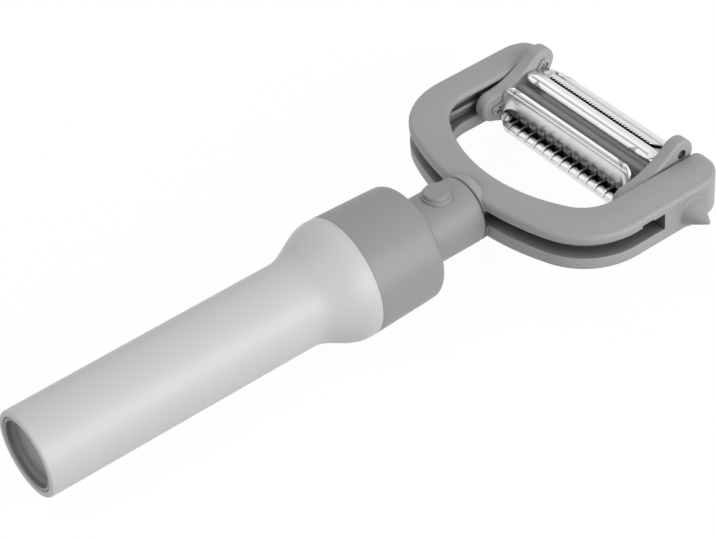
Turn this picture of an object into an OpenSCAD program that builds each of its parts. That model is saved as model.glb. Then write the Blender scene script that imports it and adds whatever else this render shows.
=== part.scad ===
// Vegetable peeler with a turning head and a carriage of three swivelling blades.
// X runs from the end of the handle to the head, Z is up through the button.
// The origin is the centre of the flat floor of the end cap's cup.

/* [Grip] */
// Length of the white grip, from its rear rim to the collar
grip_len = 93.6; // [84:0.1:110]
// Diameter of the straight part of the grip
grip_d = 23.1; // [22:0.1:26]
// Wall of the straight part
grip_wall = 2.05; // [1.8:0.05:2.4]
// Diameter of the flared mouth
mouth_d = 32.9; // [32:0.1:36]
// Length of the flare
flare_len = 14; // [12:0.1:18]
// Length of the plain band in front of the flare
mouth_band = 2.1; // [1.5:0.1:3]
// Distance from the rear rim in to the end cap's rim
rim_proud = 0.3; // [0.1:0.1:0.6]
// Radius of the rounded rear rim
rim_round = 0.8; // [0.4:0.1:1]

/* [End cap] */
// Diameter of the end cap
cap_d = 19.9; // [19.6:0.1:20.2]
// Depth of the cap's cup
cup_depth = 2.2; // [1.5:0.1:3]
// Wall round the cap's cup
cup_wall = 1.1; // [0.8:0.1:1.6]
// Thickness of the cap's floor
cap_t = 2.6; // [2:0.1:4]
// Length of the cap's skirt
skirt_len = 9; // [7:0.5:12]
// Wall of the skirt
skirt_wall = 1.4; // [1:0.1:2]
// Width of a snap hook
hook_w = 4; // [3:0.1:5]
// Length of a snap hook
hook_len = 2; // [1.5:0.1:3]
// How far a hook stands out of the skirt
hook_out = 0.9; // [0.5:0.1:1.2]

/* [Handle core] */
// Wall of the core tube
core_wall = 1.6; // [1.2:0.1:2]
// Thickness of the core's front flange
core_flange_t = 3.4; // [3:0.1:5]
// Radial room for the core's bell inside the collar
bell_wall = 1.5; // [1.2:0.1:1.9]

/* [Collar] */
// Length of the grey collar
collar_len = 20.8; // [20:0.1:26]
// Diameter of the collar at its front
collar_front_d = 31.5; // [30:0.1:32.5]
// Radius of the collar's front edge
collar_round = 1.9; // [1:0.1:2.5]
// Thickness of the collar's front wall
collar_front_t = 4; // [3:0.1:5]
// Length of the spigot that plugs into the grip
spigot_len = 4.8; // [3.5:0.1:5.5]
// Wall of the spigot
spigot_wall = 1.5; // [1.2:0.1:1.8]
// Diameter of the hollow inside the collar
collar_bore_d = 23.2; // [22.9:0.1:24]

/* [Neck] */
// Visible length of the neck
neck_len = 18.45; // [16:0.05:24]
// Diameter of the neck
neck_d = 18.35; // [18:0.05:20]
// Radius of the neck's front edge
neck_round = 1.1; // [0.5:0.1:1.2]
// Thickness of the neck's hidden flange
neck_flange_t = 3.4; // [3:0.1:4]
// Pitch circle diameter of the core screws
screw_pitch_d = 14.8; // [14.6:0.1:15]
// Number of core screws
core_screw_count = 3; // [2:1:4]
// Distance from the neck's front face back to the button's centre
button_back = 8.55; // [8.3:0.05:10]

/* [Button and lock] */
// Diameter of the button
button_d = 8.3; // [7.5:0.1:8.4]
// Diameter of the button's flat top
button_top_d = 6.2; // [5:0.1:7]
// Height of the button above the neck
button_proud = 1.6; // [1.5:0.1:2.2]
// Travel of the button
button_travel = 1.3; // [0.8:0.05:1.3]
// Outer diameter of the lock slider's ring
slider_d = 11.4; // [11:0.1:11.4]
// Thickness of the lock slider along the neck
slider_t = 3.8; // [3:0.1:4.4]
// Diameter of the button spring
spring_d = 4.4; // [3.5:0.1:4.6]
// Wire of the button spring
spring_wire = 0.34; // [0.25:0.01:0.4]

/* [Stem] */
// Diameter of the yoke's stem
stem_d = 8; // [7.6:0.1:8.2]
// Outer diameter of the rear bush
rear_bush_d = 11; // [10.4:0.1:11.2]
// Outer diameter of the front bush
front_bush_d = 14.7; // [14.2:0.1:14.8]
// Diameter of the stem washer
washer_d = 10.4; // [9.5:0.1:10.6]
// Thickness of the stem washer
washer_t = 1.2; // [0.8:0.1:1.5]

/* [Yoke] */
// Width over the yoke's arms
yoke_w = 79.6; // [78:0.1:90]
// Clear width between the yoke's arms
yoke_gap_w = 58.6; // [57.5:0.1:60]
// Depth of the yoke's base on the centre line
base_t = 8.1; // [7.6:0.1:10]
// Height of the crown above the centre plane
yoke_top = 7.7; // [7:0.1:8.5]
// Depth of the underside below the centre plane
yoke_bottom = 5.8; // [5:0.1:6.5]
// Distance from the yoke's rear face to the blade carriage's axis
axle_reach = 41.9; // [39:0.1:50]
// Length of the arms beyond the carriage's axis
arm_overhang = 12.8; // [11:0.1:15]
// Radius of the outer corners of the yoke
corner_out_r = 19.5; // [17:0.5:20]
// Radius of the inner corners of the yoke
corner_in_r = 11.5; // [10:0.5:12]
// Radius of the curve of the base's outer side
base_out_r = 80; // [75:1:120]
// Radius of the curve of the base's inner side
base_in_r = 46; // [44:0.5:55]
// Radius of the crown across an arm
crown_r = 16; // [13:0.5:20]
// Radius of the underside across an arm
belly_r = 16; // [12:0.5:24]
// Radius of the outer corners of the arm tips
tip_r = 8.4; // [5:0.1:8.5]
// Depth of the channel round the outside
channel_depth = 4.6; // [4:0.1:4.8]
// Height of the channel
channel_h = 4.3; // [3.5:0.1:5]
// Distance from the carriage's axis back to the end of the channel
channel_end = 9.3; // [8:0.1:12]
// Length of the taller end of the channel
channel_step_len = 7.6; // [5:0.1:10]
// Extra height of the taller end
channel_step_h = 0.8; // [0.4:0.1:0.9]
// Depth of the recess on the inside of each arm
recess_depth = 2.6; // [1.5:0.1:2.8]
// Length of that recess
recess_len = 14; // [11:0.5:15]
// Height of the rail inside the recess
rail_h = 1.1; // [0.8:0.1:1.5]
// Base diameter of the eye remover
nub_d = 8; // [6:0.1:9]
// Height of the eye remover
nub_h = 6.5; // [4:0.1:8]

/* [Blade carriage] */
// Distance from the carriage's axis to a blade's pivot
pivot_r = 10.6; // [10.2:0.1:12]
// Radius of a lobe of the end plates
lobe_r = 4; // [3.6:0.1:4.4]
// Radius of the hollow sides of the end plates
hollow_r = 24; // [20:0.5:40]
// Thickness of an end plate
plate_t = 3.9; // [3.4:0.1:4.5]
// Diameter of a trunnion
trunnion_d = 7; // [6:0.1:7.2]
// Length of a trunnion
trunnion_len = 4.6; // [3.5:0.1:5]
// Diameter of the core's hub
hub_d = 6.8; // [6.4:0.1:7.4]
// Distance from the axis to the top of a rib
rib_reach = 6.2; // [5.6:0.1:6.4]
// Thickness of a rib
rib_t = 3; // [2.4:0.1:3.2]

/* [Blades] */
// Width of a blade
blade_w = 14; // [12.5:0.1:14.4]
// Thickness of the blade strip
blade_t = 0.8; // [0.6:0.05:0.9]
// Radius of the bend across a blade
blade_bend_r = 21; // [18:0.5:30]
// Distance from the pivot down to the crown of a blade
crown_drop = 1.7; // [1.5:0.1:2]
// Length of the slot in a blade
slot_len = 41; // [36:0.5:42]
// Diameter of a blade's pivot pin
pin_d = 1.8; // [1.6:0.1:1.9]
// Pitch of the serrations
serration_pitch = 1.3; // [1.2:0.1:2]
// Pitch of the julienne teeth
tooth_pitch = 3.45; // [3:0.05:5]

/* [Hidden] */

$fn = 96;
// Overrun of every cut
cut = 1;
// Gap between pieces that are fixed together
fit = 0.05;
// Radial clearance of pins, shafts and slides
run = 0.06;
// Gap between faces that pass each other
pass = 0.15;

// Steps of the flare's curve and of the rounded edges
flare_steps = 14;
round_steps = 5;

// Places along the handle
cap_rim_x = -cup_depth;
grip_x = cap_rim_x - rim_proud;
collar_x = grip_x + grip_len;
collar_front_x = collar_x + collar_len;
neck_front_x = collar_front_x + neck_len;
yoke_x = neck_front_x + pass;
axle_x = yoke_x + axle_reach;
tip_x = axle_x + arm_overhang;
button_x = neck_front_x - button_back;

// Grip
grip_r = grip_d / 2;
mouth_r = mouth_d / 2;
grip_bore_r = grip_r - grip_wall;
core_shoulder_t = 2;
chamber_len = spigot_len + core_shoulder_t;
chamber_x = collar_x - chamber_len;
cap_r = cap_d / 2;

// Core
core_r = grip_bore_r - fit;
core_bore_r = core_r - core_wall;
core_x = cap_t + 2 * fit;
window_gap = 0.2;

// Collar and neck
collar_bore_r = collar_bore_d / 2;
spigot_r = collar_bore_r + spigot_wall;
bell_r = collar_bore_r - 2 * fit;
bell_bore_r = bell_r - bell_wall;
neck_r = neck_d / 2;
flange_front_x = collar_front_x - collar_front_t - fit;
neck_rear_x = flange_front_x - neck_flange_t;
core_front_x = neck_rear_x;
core_flange_x = core_front_x - core_flange_t;

// Core screws
core_screw_r = 1.1;
core_screw_head_r = 1.95;
core_screw_head_t = 1.6;
core_screw_bite = 6.5;
screw_tip_room = 0.5;

// Stem and its bearings
stem_r = stem_d / 2;
rear_bush_r = rear_bush_d / 2;
front_bush_r = front_bush_d / 2;
washer_r = washer_d / 2;
stem_rear_x = neck_rear_x - 2 * fit;
washer_room = 0.35;
washer_room_r = washer_r + washer_room;
cavity_back = 3;
cavity_front = 4.5;
cavity_rear_x = button_x - cavity_back;
front_bush_x = button_x + cavity_front;
front_bush_inset = 0.25;
front_bush_len = neck_front_x - front_bush_x - front_bush_inset;
bush_web_t = 1.2;
rear_bush_len = cavity_rear_x - neck_rear_x - bush_web_t;
stem_screw_r = 1.4;
stem_screw_head_r = 2.7;
stem_screw_head_t = 1.8;
stem_screw_bite = 12;

// Button, slider and pad
button_r = button_d / 2;
button_top_r = button_top_d / 2;
button_top_z = neck_r + button_proud;
button_sunk = 2.2;
button_seat_z = neck_r - button_sunk;
button_edge = 0.45;
button_shoulder_z = neck_r + button_edge;
post_r = 1.9;
post_h = 1.4;
slider_r = slider_d / 2;
slider_room = 0.3;
slider_neck_w = 4.4;
slider_hole_r = stem_r + slider_room;
pad_half_w = 2;
pad_seat = 0.9;
spring_room = 0.2;
pocket_r = spring_d / 2 + spring_room;
spring_floor_t = 0.85;
spring_floor_z = spring_floor_t - neck_r;
button_spring_turns = 2.5;

// Yoke
yoke_half = yoke_w / 2;
gap_half = yoke_gap_w / 2;
arm_mid_y = (yoke_half + gap_half) / 2;
crown_edge_w = 15;
mid_corner_r = (corner_out_r + corner_in_r) / 2;
mid_base_r = (base_out_r + base_in_r) / 2;
mid_base_x = yoke_x + base_t / 2 + mid_base_r;
mid_corner_y = arm_mid_y - mid_corner_r;
mid_corner_dx = sqrt(pow(mid_base_r - mid_corner_r, 2) - pow(mid_corner_y, 2));
mid_corner_x = mid_base_x - mid_corner_dx;
mid_corner_turn = atan2(mid_corner_y, mid_corner_dx);
stem_root = 4;
wedge_share = 1.2;
// Angle by which the corners' sweeps lap over the base, and how much larger they are
lap = 3;
lap_grow = 0.04;
channel_low_share = 0.12;
channel_bottom_z = -channel_h * channel_low_share;
channel_top_z = channel_bottom_z + channel_h;
channel_x = axle_x - channel_end;
// The channel starts behind the neck's front face
channel_gap = 1.5;
channel_start = stem_r + channel_gap;
recess_gap = 1.8;
recess_x = channel_x - recess_gap;
rail_depth = recess_depth / 2;
recess_mouth = 5;
recess_bottom_z = -1.4;
recess_top_z = yoke_top - 1.8;
rail_z = 2;
pocket_h = 1.7;
pocket_len = 17;
// The crown's highest line lies nearer to the inside by this much
crown_lean = 1.9;
// Round boss in front of the neck
boss_r = neck_r - 0.1;
boss_gap = 0.55;
boss_len = 1;
boss_taper_len = 2.4;
boss_end_r = neck_r - 3;
inner_tip_r = 3;
nub_tip_r = 0.35;
trunnion_r = trunnion_d / 2;
bore_r = trunnion_r + run;
bore_room = 0.6;
bore_depth = trunnion_len + bore_room;

// Carriage
plate_gap = 0.4;
plate_in = gap_half - plate_gap - plate_t;
plate_out = plate_in + plate_t;
blade_angles = [172, 52, -68];
rest_swing = [0, 17, 0];
rib_turn = 60;
hollow_mid = pivot_r * cos(rib_turn);
hollow_side = pivot_r * sin(rib_turn);
hollow_x = hollow_mid + sqrt(pow(hollow_r + lobe_r, 2) - pow(hollow_side, 2));
touch_x = hollow_x - (hollow_x - hollow_mid) * hollow_r / (hollow_r + lobe_r);
touch_y = hollow_side * hollow_r / (hollow_r + lobe_r);
touch_reach = norm([touch_x, touch_y]);
touch_turn = atan2(touch_y, touch_x);
carriage_screw_r = 1;
carriage_screw_head_r = 2;
carriage_screw_head_t = 1.3;
carriage_screw_bite = 8;
carriage_screw_sunk = 0.3;

// Detent
detent_r = 6.4;
ball_r = 1.5;
track_depth = 0.3;
dimple_depth = 1.2;
dimple_r = 1.5;
ball_y = plate_out - track_depth + ball_r + fit;
detent_bore_len = 7;
detent_wire = 0.28;
detent_turns = 4;

// Blades
blade_side_gap = 0.3;
blade_end = plate_in - blade_side_gap;
blade_corner_r = 3.2;
ear_r = 1.6;
ear_base = 2.6;
pin_r = pin_d / 2;
pin_bore_r = pin_r + run;
pin_sink_r = 1.35;
pin_sink = 1.1;
pin_recess = 0.9;
pin_inside = 0.35;
relief_r = 1.8;
julienne_slot = [0.4, 3.8];
lip_slot = [1.1, 2.6];
lip_rise = 0.65;
lip_back = 2.6;
lip_t = 0.5;
tooth_t = 0.45;
tooth_rise = 1.3;
serration_r = 0.42;

// Springs
coil_sides = 6;
coil_steps = 14;

// Places of a rotated outline
function arc(cx, cy, r, a0, a1, n) = [for (i = [0 : n]) let (a = a0 + (a1 - a0) * i / n) [cx + r * cos(a), cy + r * sin(a)]];
function smooth(s) = s * s * (3 - 2 * s);
function polar(r, a) = [r * cos(a), r * sin(a)];

module rod(x, len, r) {
    translate([x, 0, 0]) rotate([0, 90, 0]) cylinder(h = len, r = r);
}

module ring(x, len, outer_r, inner_r) {
    difference() {
        rod(x, len, outer_r);
        rod(x - cut, len + 2 * cut, inner_r);
    }
}

// A turned piece: the outline gives radius and place along X
module turned(points) {
    rotate([0, 90, 0]) rotate_extrude() polygon(points);
}

// A coil of round wire that stands on the plane z = 0
module coil(r, wire_r, h, turns) {
    count = ceil(turns * coil_steps);
    rise = h - 2 * wire_r;
    points = [for (k = [0 : count], j = [0 : coil_sides - 1])
        let (a = 360 * turns * k / count, b = 360 * j / coil_sides)
        [(r + wire_r * cos(b)) * cos(a), (r + wire_r * cos(b)) * sin(a),
            wire_r + rise * k / count + wire_r * sin(b)]];
    sides = [for (k = [0 : count - 1], j = [0 : coil_sides - 1])
        let (p = k * coil_sides, q = (j + 1) % coil_sides)
        each [[p + j, p + coil_sides + j, p + q], [p + q, p + coil_sides + j, p + coil_sides + q]]];
    first = [for (j = [0 : coil_sides - 1]) j];
    last = [for (j = [coil_sides - 1 : -1 : 0]) count * coil_sides + j];
    polyhedron(points = points, faces = concat(sides, [first, last]));
}

module handle_grip() {
    straight_end = collar_x - mouth_band - flare_len;
    outline = concat(
        [[0, grip_x]],
        arc(grip_r - rim_round, grip_x + rim_round, rim_round, -90, 0, round_steps),
        [for (i = [0 : flare_steps]) let (s = i / flare_steps)
            [grip_r + (mouth_r - grip_r) * smooth(s), straight_end + flare_len * s]],
        [[mouth_r, collar_x], [0, collar_x]]);
    color("white") difference() {
        turned(outline);
        rod(grip_x - cut, grip_len + 2 * cut, grip_bore_r);
        rod(grip_x - cut, cap_t - grip_x + cut, cap_r + fit);
        rod(chamber_x, chamber_len + cut, spigot_r + fit);
    }
}

module end_cap() {
    skirt_r = core_bore_r - fit;
    color("gray") {
        difference() {
            rod(cap_rim_x, cap_t - cap_rim_x, cap_r);
            rod(cap_rim_x - cut, cut - cap_rim_x, cap_r - cup_wall);
        }
        ring(cap_t, skirt_len, skirt_r, skirt_r - skirt_wall);
        intersection() {
            ring(cap_t + skirt_len - hook_len, hook_len, skirt_r + hook_out, skirt_r - skirt_wall);
            translate([0, -grip_r, -hook_w / 2]) cube([grip_len, grip_d, hook_w]);
        }
    }
}

module handle_core() {
    window_x = cap_t + skirt_len - hook_len - window_gap;
    bell_x = chamber_x + 2 * fit;
    color("dimgray") difference() {
        union() {
            rod(core_x, core_front_x - core_x, core_r);
            rod(bell_x, core_front_x - bell_x, bell_r);
        }
        rod(core_x - cut, bell_x - core_x + cut + core_shoulder_t, core_bore_r);
        rod(bell_x + core_shoulder_t, core_flange_x - bell_x - core_shoulder_t, bell_bore_r);
        rod(core_flange_x - cut, core_flange_t + 2 * cut, washer_room_r);
        translate([window_x, -grip_r, -hook_w / 2 - window_gap])
            cube([hook_len + 2 * window_gap, grip_d, hook_w + 2 * window_gap]);
        at_core_screws() rod(core_flange_x - cut, core_flange_t + 2 * cut, core_screw_r + fit);
    }
}

module at_core_screws() {
    for (i = [0 : core_screw_count - 1])
        rotate([360 * i / core_screw_count, 0, 0]) translate([0, 0, -screw_pitch_d / 2]) children();
}

module core_screws() {
    color("silver") at_core_screws() {
        rod(core_flange_x - core_screw_head_t, core_screw_head_t, core_screw_head_r);
        rod(core_flange_x, core_flange_t + core_screw_bite, core_screw_r);
    }
}

module collar() {
    front_r = collar_front_d / 2;
    outline = concat(
        [[0, collar_x], [mouth_r, collar_x]],
        arc(front_r - collar_round, collar_front_x - collar_round, collar_round, 0, 90, round_steps),
        [[0, collar_front_x]]);
    color("darkgray") difference() {
        union() {
            turned(outline);
            rod(collar_x - spigot_len, spigot_len + cut, spigot_r);
        }
        rod(collar_x - spigot_len - cut, spigot_len + cut + collar_len - collar_front_t, collar_bore_r);
        rod(collar_x, collar_len + cut, neck_r + fit);
    }
}

module neck() {
    outline = concat(
        [[0, neck_rear_x], [neck_r, neck_rear_x]],
        arc(neck_r - neck_round, neck_front_x - neck_round, neck_round, 0, 90, round_steps),
        [[0, neck_front_x]]);
    color("darkgray") difference() {
        union() {
            turned(outline);
            rod(neck_rear_x, neck_flange_t, collar_bore_r - 2 * fit);
        }
        rod(neck_rear_x - cut, neck_front_x - neck_rear_x + 2 * cut, stem_r + slider_room);
        rod(neck_rear_x - cut, rear_bush_len + cut, rear_bush_r + fit / 2);
        rod(cavity_rear_x, neck_front_x - cavity_rear_x + cut, front_bush_r + fit / 2);
        translate([button_x, 0, button_seat_z - button_travel - slider_room])
            cylinder(h = neck_r, r = button_r + run);
        translate([button_x, 0, spring_floor_z]) cylinder(h = neck_r - button_travel, r = pocket_r);
        at_core_screws() rod(neck_rear_x - cut, core_screw_bite + cut + screw_tip_room, core_screw_r + fit);
    }
}

module rear_bush() {
    color("ivory") ring(neck_rear_x, rear_bush_len, rear_bush_r, stem_r + run);
}

module front_bush() {
    color("ivory") ring(front_bush_x, front_bush_len, front_bush_r, stem_r + run);
}

module head_button() {
    outline = [[0, button_seat_z], [button_r, button_seat_z], [button_r, button_shoulder_z],
        [button_top_r, button_top_z], [0, button_top_z]];
    color("darkgray") translate([button_x, 0, 0]) difference() {
        rotate_extrude() polygon(outline);
        translate([0, 0, button_seat_z - cut]) cylinder(h = post_h + cut + fit, r = post_r + fit / 2);
    }
}

// The slider is a ring round the stem, with a post that carries the button
module lock_slider() {
    color("dimgray") difference() {
        union() {
            translate([button_x - slider_t / 2, 0, 0]) rotate([0, 90, 0]) cylinder(h = slider_t, r = slider_r);
            translate([button_x - slider_t / 2, -slider_neck_w / 2, 0]) cube([slider_t, slider_neck_w, button_seat_z]);
            translate([button_x, 0, button_seat_z - cut]) cylinder(h = post_h + cut, r = post_r);
        }
        rod(button_x - slider_t, 2 * slider_t, slider_hole_r);
        translate([0, 0, button_travel]) rod(button_x - slider_t, 2 * slider_t, slider_hole_r);
        translate([button_x - slider_t, -slider_hole_r, 0])
            cube([2 * slider_t, 2 * slider_hole_r, button_travel]);
        translate([button_x - slider_t, -pad_half_w - fit / 2, -stem_r - pad_seat - fit])
            cube([2 * slider_t, 2 * pad_half_w + fit, stem_r]);
    }
}

module friction_pad() {
    color("black") difference() {
        translate([button_x - slider_t / 2, -pad_half_w, -stem_r - pad_seat])
            cube([slider_t, 2 * pad_half_w, stem_r]);
        rod(button_x - slider_t, 2 * slider_t, stem_r + run);
    }
}

module button_spring() {
    length = -slider_r - spring_floor_z - fit;
    color("silver") translate([button_x, 0, spring_floor_z + fit / 2])
        coil((spring_d - spring_wire) / 2, spring_wire / 2, length, button_spring_turns);
}

// A U in plan: a base arc from x0, tangent corners and straight arms out to x_end
module u_shape(x0, base_r, corner_r, half, x_end) {
    corner_y = half - corner_r;
    corner_dx = sqrt(pow(base_r - corner_r, 2) - pow(corner_y, 2));
    base_x = x0 + base_r;
    corner_x = base_x - corner_dx;
    reach = [corner_dx, corner_y] * base_r / (base_r - corner_r) * wedge_share;
    for (s = [-1, 1]) translate([corner_x, s * corner_y]) circle(r = corner_r);
    translate([corner_x, -half]) square([x_end - corner_x, 2 * half]);
    intersection() {
        translate([base_x, 0]) circle(r = base_r);
        polygon([[base_x, 0], [base_x - reach[0], reach[1]], [base_x - reach[0], -reach[1]]]);
    }
}

module yoke_outside(inset) {
    u_shape(yoke_x + inset, base_out_r - inset, corner_out_r - inset, yoke_half - inset, tip_x + cut);
}

module yoke_inside(inset) {
    u_shape(yoke_x + base_t - inset, base_in_r + inset, corner_in_r + inset, gap_half + inset, tip_x + 2 * cut);
}

// What a round corner of an arm's tip leaves off; side is 1 for the outer corner and -1 for the inner one
module tip_corner(y, r, side) {
    translate([tip_x - r, y - side * r]) mirror([0, side > 0 ? 0 : 1]) difference() {
        square(r + cut);
        circle(r = r);
    }
}

module yoke_plan() {
    difference() {
        yoke_outside(0);
        yoke_inside(0);
        translate([tip_x, -yoke_w]) square([yoke_w, 2 * yoke_w]);
        for (s = [0, 1]) mirror([0, s]) {
            tip_corner(yoke_half, tip_r, 1);
            tip_corner(gap_half, inner_tip_r, -1);
        }
    }
}

// Section across an arm, domed above and slightly below
module arm_section(grow) {
    intersection() {
        translate([-crown_lean, yoke_top - crown_r]) circle(r = crown_r + grow);
        translate([-crown_lean, belly_r - yoke_bottom]) circle(r = belly_r + grow);
        translate([-crown_edge_w / 2, -yoke_bottom - cut]) square([crown_edge_w, yoke_bottom + yoke_top + 2 * cut]);
    }
}

// The corners are swept a hair larger and lap over the base, so that the sweeps join cleanly
module yoke_crown() {
    for (s = [0, 1]) mirror([0, s, 0]) {
        translate([mid_corner_x, arm_mid_y, 0]) rotate([90, 0, 90])
            linear_extrude(tip_x - mid_corner_x + cut) arm_section(lap_grow);
        translate([mid_corner_x, mid_corner_y, 0]) rotate([0, 0, 90])
            rotate_extrude(angle = 90 - mid_corner_turn + lap, $fn = 144) translate([mid_corner_r, 0]) arm_section(lap_grow);
    }
    translate([mid_base_x, 0, 0]) rotate([0, 0, 180 - mid_corner_turn])
        rotate_extrude(angle = 2 * mid_corner_turn, $fn = 360) translate([mid_base_r, 0]) arm_section(0);
}

module channel_band(z0, z1, x0, x1) {
    translate([0, 0, z0]) linear_extrude(z1 - z0) intersection() {
        difference() {
            yoke_outside(-cut);
            yoke_outside(channel_depth);
        }
        for (s = [0, 1]) mirror([0, s]) translate([x0, channel_start]) square([x1 - x0, yoke_half]);
    }
}

module yoke() {
    color("darkgray") difference() {
        union() {
            intersection() {
                translate([0, 0, -yoke_bottom - cut]) linear_extrude(yoke_bottom + yoke_top + 2 * cut) yoke_plan();
                yoke_crown();
            }
            rod(stem_rear_x, yoke_x + stem_root - stem_rear_x, stem_r);
            rod(yoke_x + boss_gap, boss_len, boss_r);
            translate([yoke_x + boss_gap + boss_len, 0, 0]) rotate([0, 90, 0])
                cylinder(h = boss_taper_len, r1 = boss_r, r2 = boss_end_r);
            translate([axle_x, -yoke_half + nub_tip_r, 0]) rotate([90, 0, 0])
                cylinder(h = nub_h + nub_tip_r, r1 = nub_d / 2, r2 = nub_tip_r);
        }
        channel_band(channel_bottom_z, channel_top_z, yoke_x, channel_x);
        channel_band(channel_top_z - cut, channel_top_z + channel_step_h, channel_x - channel_step_len,
            channel_x - channel_step_len / 2);
        channel_band(channel_top_z - cut, channel_top_z + channel_step_h / 2,
            channel_x - channel_step_len / 2 - cut, channel_x);
        for (s = [0, 1]) mirror([0, s, 0]) {
            difference() {
                translate([recess_x - recess_len, gap_half - recess_mouth, recess_bottom_z])
                    cube([recess_len, recess_depth + recess_mouth, recess_top_z - recess_bottom_z]);
                translate([recess_x - recess_len - cut, gap_half + rail_depth, rail_z - rail_h / 2])
                    cube([recess_len + 2 * cut, recess_depth, rail_h]);
            }
            translate([recess_x - cut, gap_half - cut, recess_top_z - pocket_h]) cube([pocket_len, recess_depth + cut, pocket_h]);
            translate([axle_x, gap_half - cut, 0]) rotate([-90, 0, 0]) cylinder(h = bore_depth + cut, r = bore_r);
        }
        translate([axle_x - detent_r, gap_half - cut, 0]) rotate([-90, 0, 0])
            cylinder(h = detent_bore_len + cut, r = ball_r + run);
        rod(stem_rear_x - cut, stem_screw_bite + cut + screw_tip_room, stem_screw_r + fit);
    }
}

module stem_washer() {
    color("silver") ring(stem_rear_x - washer_t, washer_t, washer_r, stem_screw_r + fit);
}

module stem_screw() {
    color("silver") {
        rod(stem_rear_x - washer_t - stem_screw_head_t, stem_screw_head_t, stem_screw_head_r);
        rod(stem_rear_x - washer_t, washer_t + stem_screw_bite, stem_screw_r);
    }
}

module detent_ball() {
    color("silver") translate([axle_x - detent_r, ball_y, 0]) sphere(r = ball_r);
}

module detent_spring() {
    spring_y = ball_y + ball_r + fit;
    length = gap_half + detent_bore_len - spring_y - fit;
    color("silver") translate([axle_x - detent_r, spring_y, 0]) rotate([-90, 0, 0])
        coil(ball_r - detent_wire, detent_wire / 2, length, detent_turns);
}

// The carriage's own frame: x and y lie across its axis and z points to the right arm
module at_axle() {
    translate([axle_x, 0, 0]) rotate([90, 0, 0]) children();
}

// Three lobes, with hollow sides whose circles touch the lobes
module plate_outline() {
    difference() {
        polygon([for (a = blade_angles, s = [1, -1]) polar(touch_reach, a + rib_turn + s * touch_turn)]);
        for (a = blade_angles) rotate(a + rib_turn) translate([hollow_x, 0]) circle(r = hollow_r, $fn = 240);
    }
    for (a = blade_angles) rotate(a) translate([pivot_r, 0]) circle(r = lobe_r);
}

// Drawn for the right arm; the left plate is its mirror image
module end_plate() {
    head_room = carriage_screw_head_t + carriage_screw_sunk;
    at_axle() difference() {
        union() {
            translate([0, 0, plate_in]) linear_extrude(plate_t) plate_outline();
            translate([0, 0, plate_out - cut]) cylinder(h = trunnion_len + cut, r = trunnion_r);
        }
        for (a = blade_angles) translate(polar(pivot_r, a)) {
            translate([0, 0, plate_in - cut]) cylinder(h = plate_t + 2 * cut, r = pin_bore_r);
            translate([0, 0, plate_out - pin_sink]) cylinder(h = pin_sink + cut, r = pin_sink_r);
        }
        translate([0, 0, plate_out + trunnion_len - head_room])
            cylinder(h = head_room + cut, r = carriage_screw_head_r + fit);
        translate([0, 0, plate_in - cut])
            cylinder(h = plate_t + trunnion_len + cut, r = carriage_screw_r + fit);
    }
}

module right_end_plate() {
    color("gray") end_plate();
}

module left_end_plate() {
    color("gray") difference() {
        mirror([0, 1, 0]) end_plate();
        translate([axle_x, plate_out - track_depth, 0]) rotate([-90, 0, 0]) difference() {
            cylinder(h = cut, r = detent_r + ball_r / 2);
            translate([0, 0, -cut]) cylinder(h = 3 * cut, r = detent_r - ball_r / 2);
        }
        at_axle() for (a = blade_angles) translate([0, 0, -plate_out])
            translate(polar(detent_r, 180 + a - blade_angles[0])) cylinder(h = dimple_depth, r1 = dimple_r, r2 = 0);
    }
}

module carriage_beam() {
    rib_r = rib_t / 2;
    color("dimgray") at_axle() difference() {
        translate([0, 0, -plate_in + fit]) linear_extrude(2 * (plate_in - fit)) {
            circle(d = hub_d);
            for (a = blade_angles) rotate(a + rib_turn) {
                translate([0, -rib_r]) square([rib_reach - rib_r, rib_t]);
                translate([rib_reach - rib_r, 0]) circle(r = rib_r);
            }
        }
        for (s = [0, 1]) mirror([0, 0, s])
            translate([0, 0, plate_in - carriage_screw_bite - screw_tip_room])
                cylinder(h = carriage_screw_bite + cut, r = carriage_screw_r + fit);
    }
}

module carriage_screws() {
    under_head = plate_out + trunnion_len - carriage_screw_head_t - carriage_screw_sunk;
    color("silver") at_axle() for (s = [0, 1]) mirror([0, 0, s]) {
        translate([0, 0, under_head]) cylinder(h = carriage_screw_head_t, r = carriage_screw_head_r);
        translate([0, 0, plate_in - carriage_screw_bite])
            cylinder(h = under_head + carriage_screw_bite - plate_in, r = carriage_screw_r);
    }
}

// The frame of blade i: its pivot is the origin, y points outwards and x against the cut
module at_blade(i) {
    at_axle() rotate([0, 0, blade_angles[i] - 90]) translate([0, pivot_r, 0]) rotate([0, 0, rest_swing[i]]) children();
}

module blade_section() {
    bend_y = -crown_drop - blade_bend_r;
    intersection() {
        difference() {
            translate([0, bend_y]) circle(r = blade_bend_r, $fn = 240);
            translate([0, bend_y]) circle(r = blade_bend_r - blade_t, $fn = 240);
        }
        translate([-blade_w, -blade_bend_r / 2]) square([2 * blade_w, blade_bend_r / 2]);
    }
}

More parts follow.
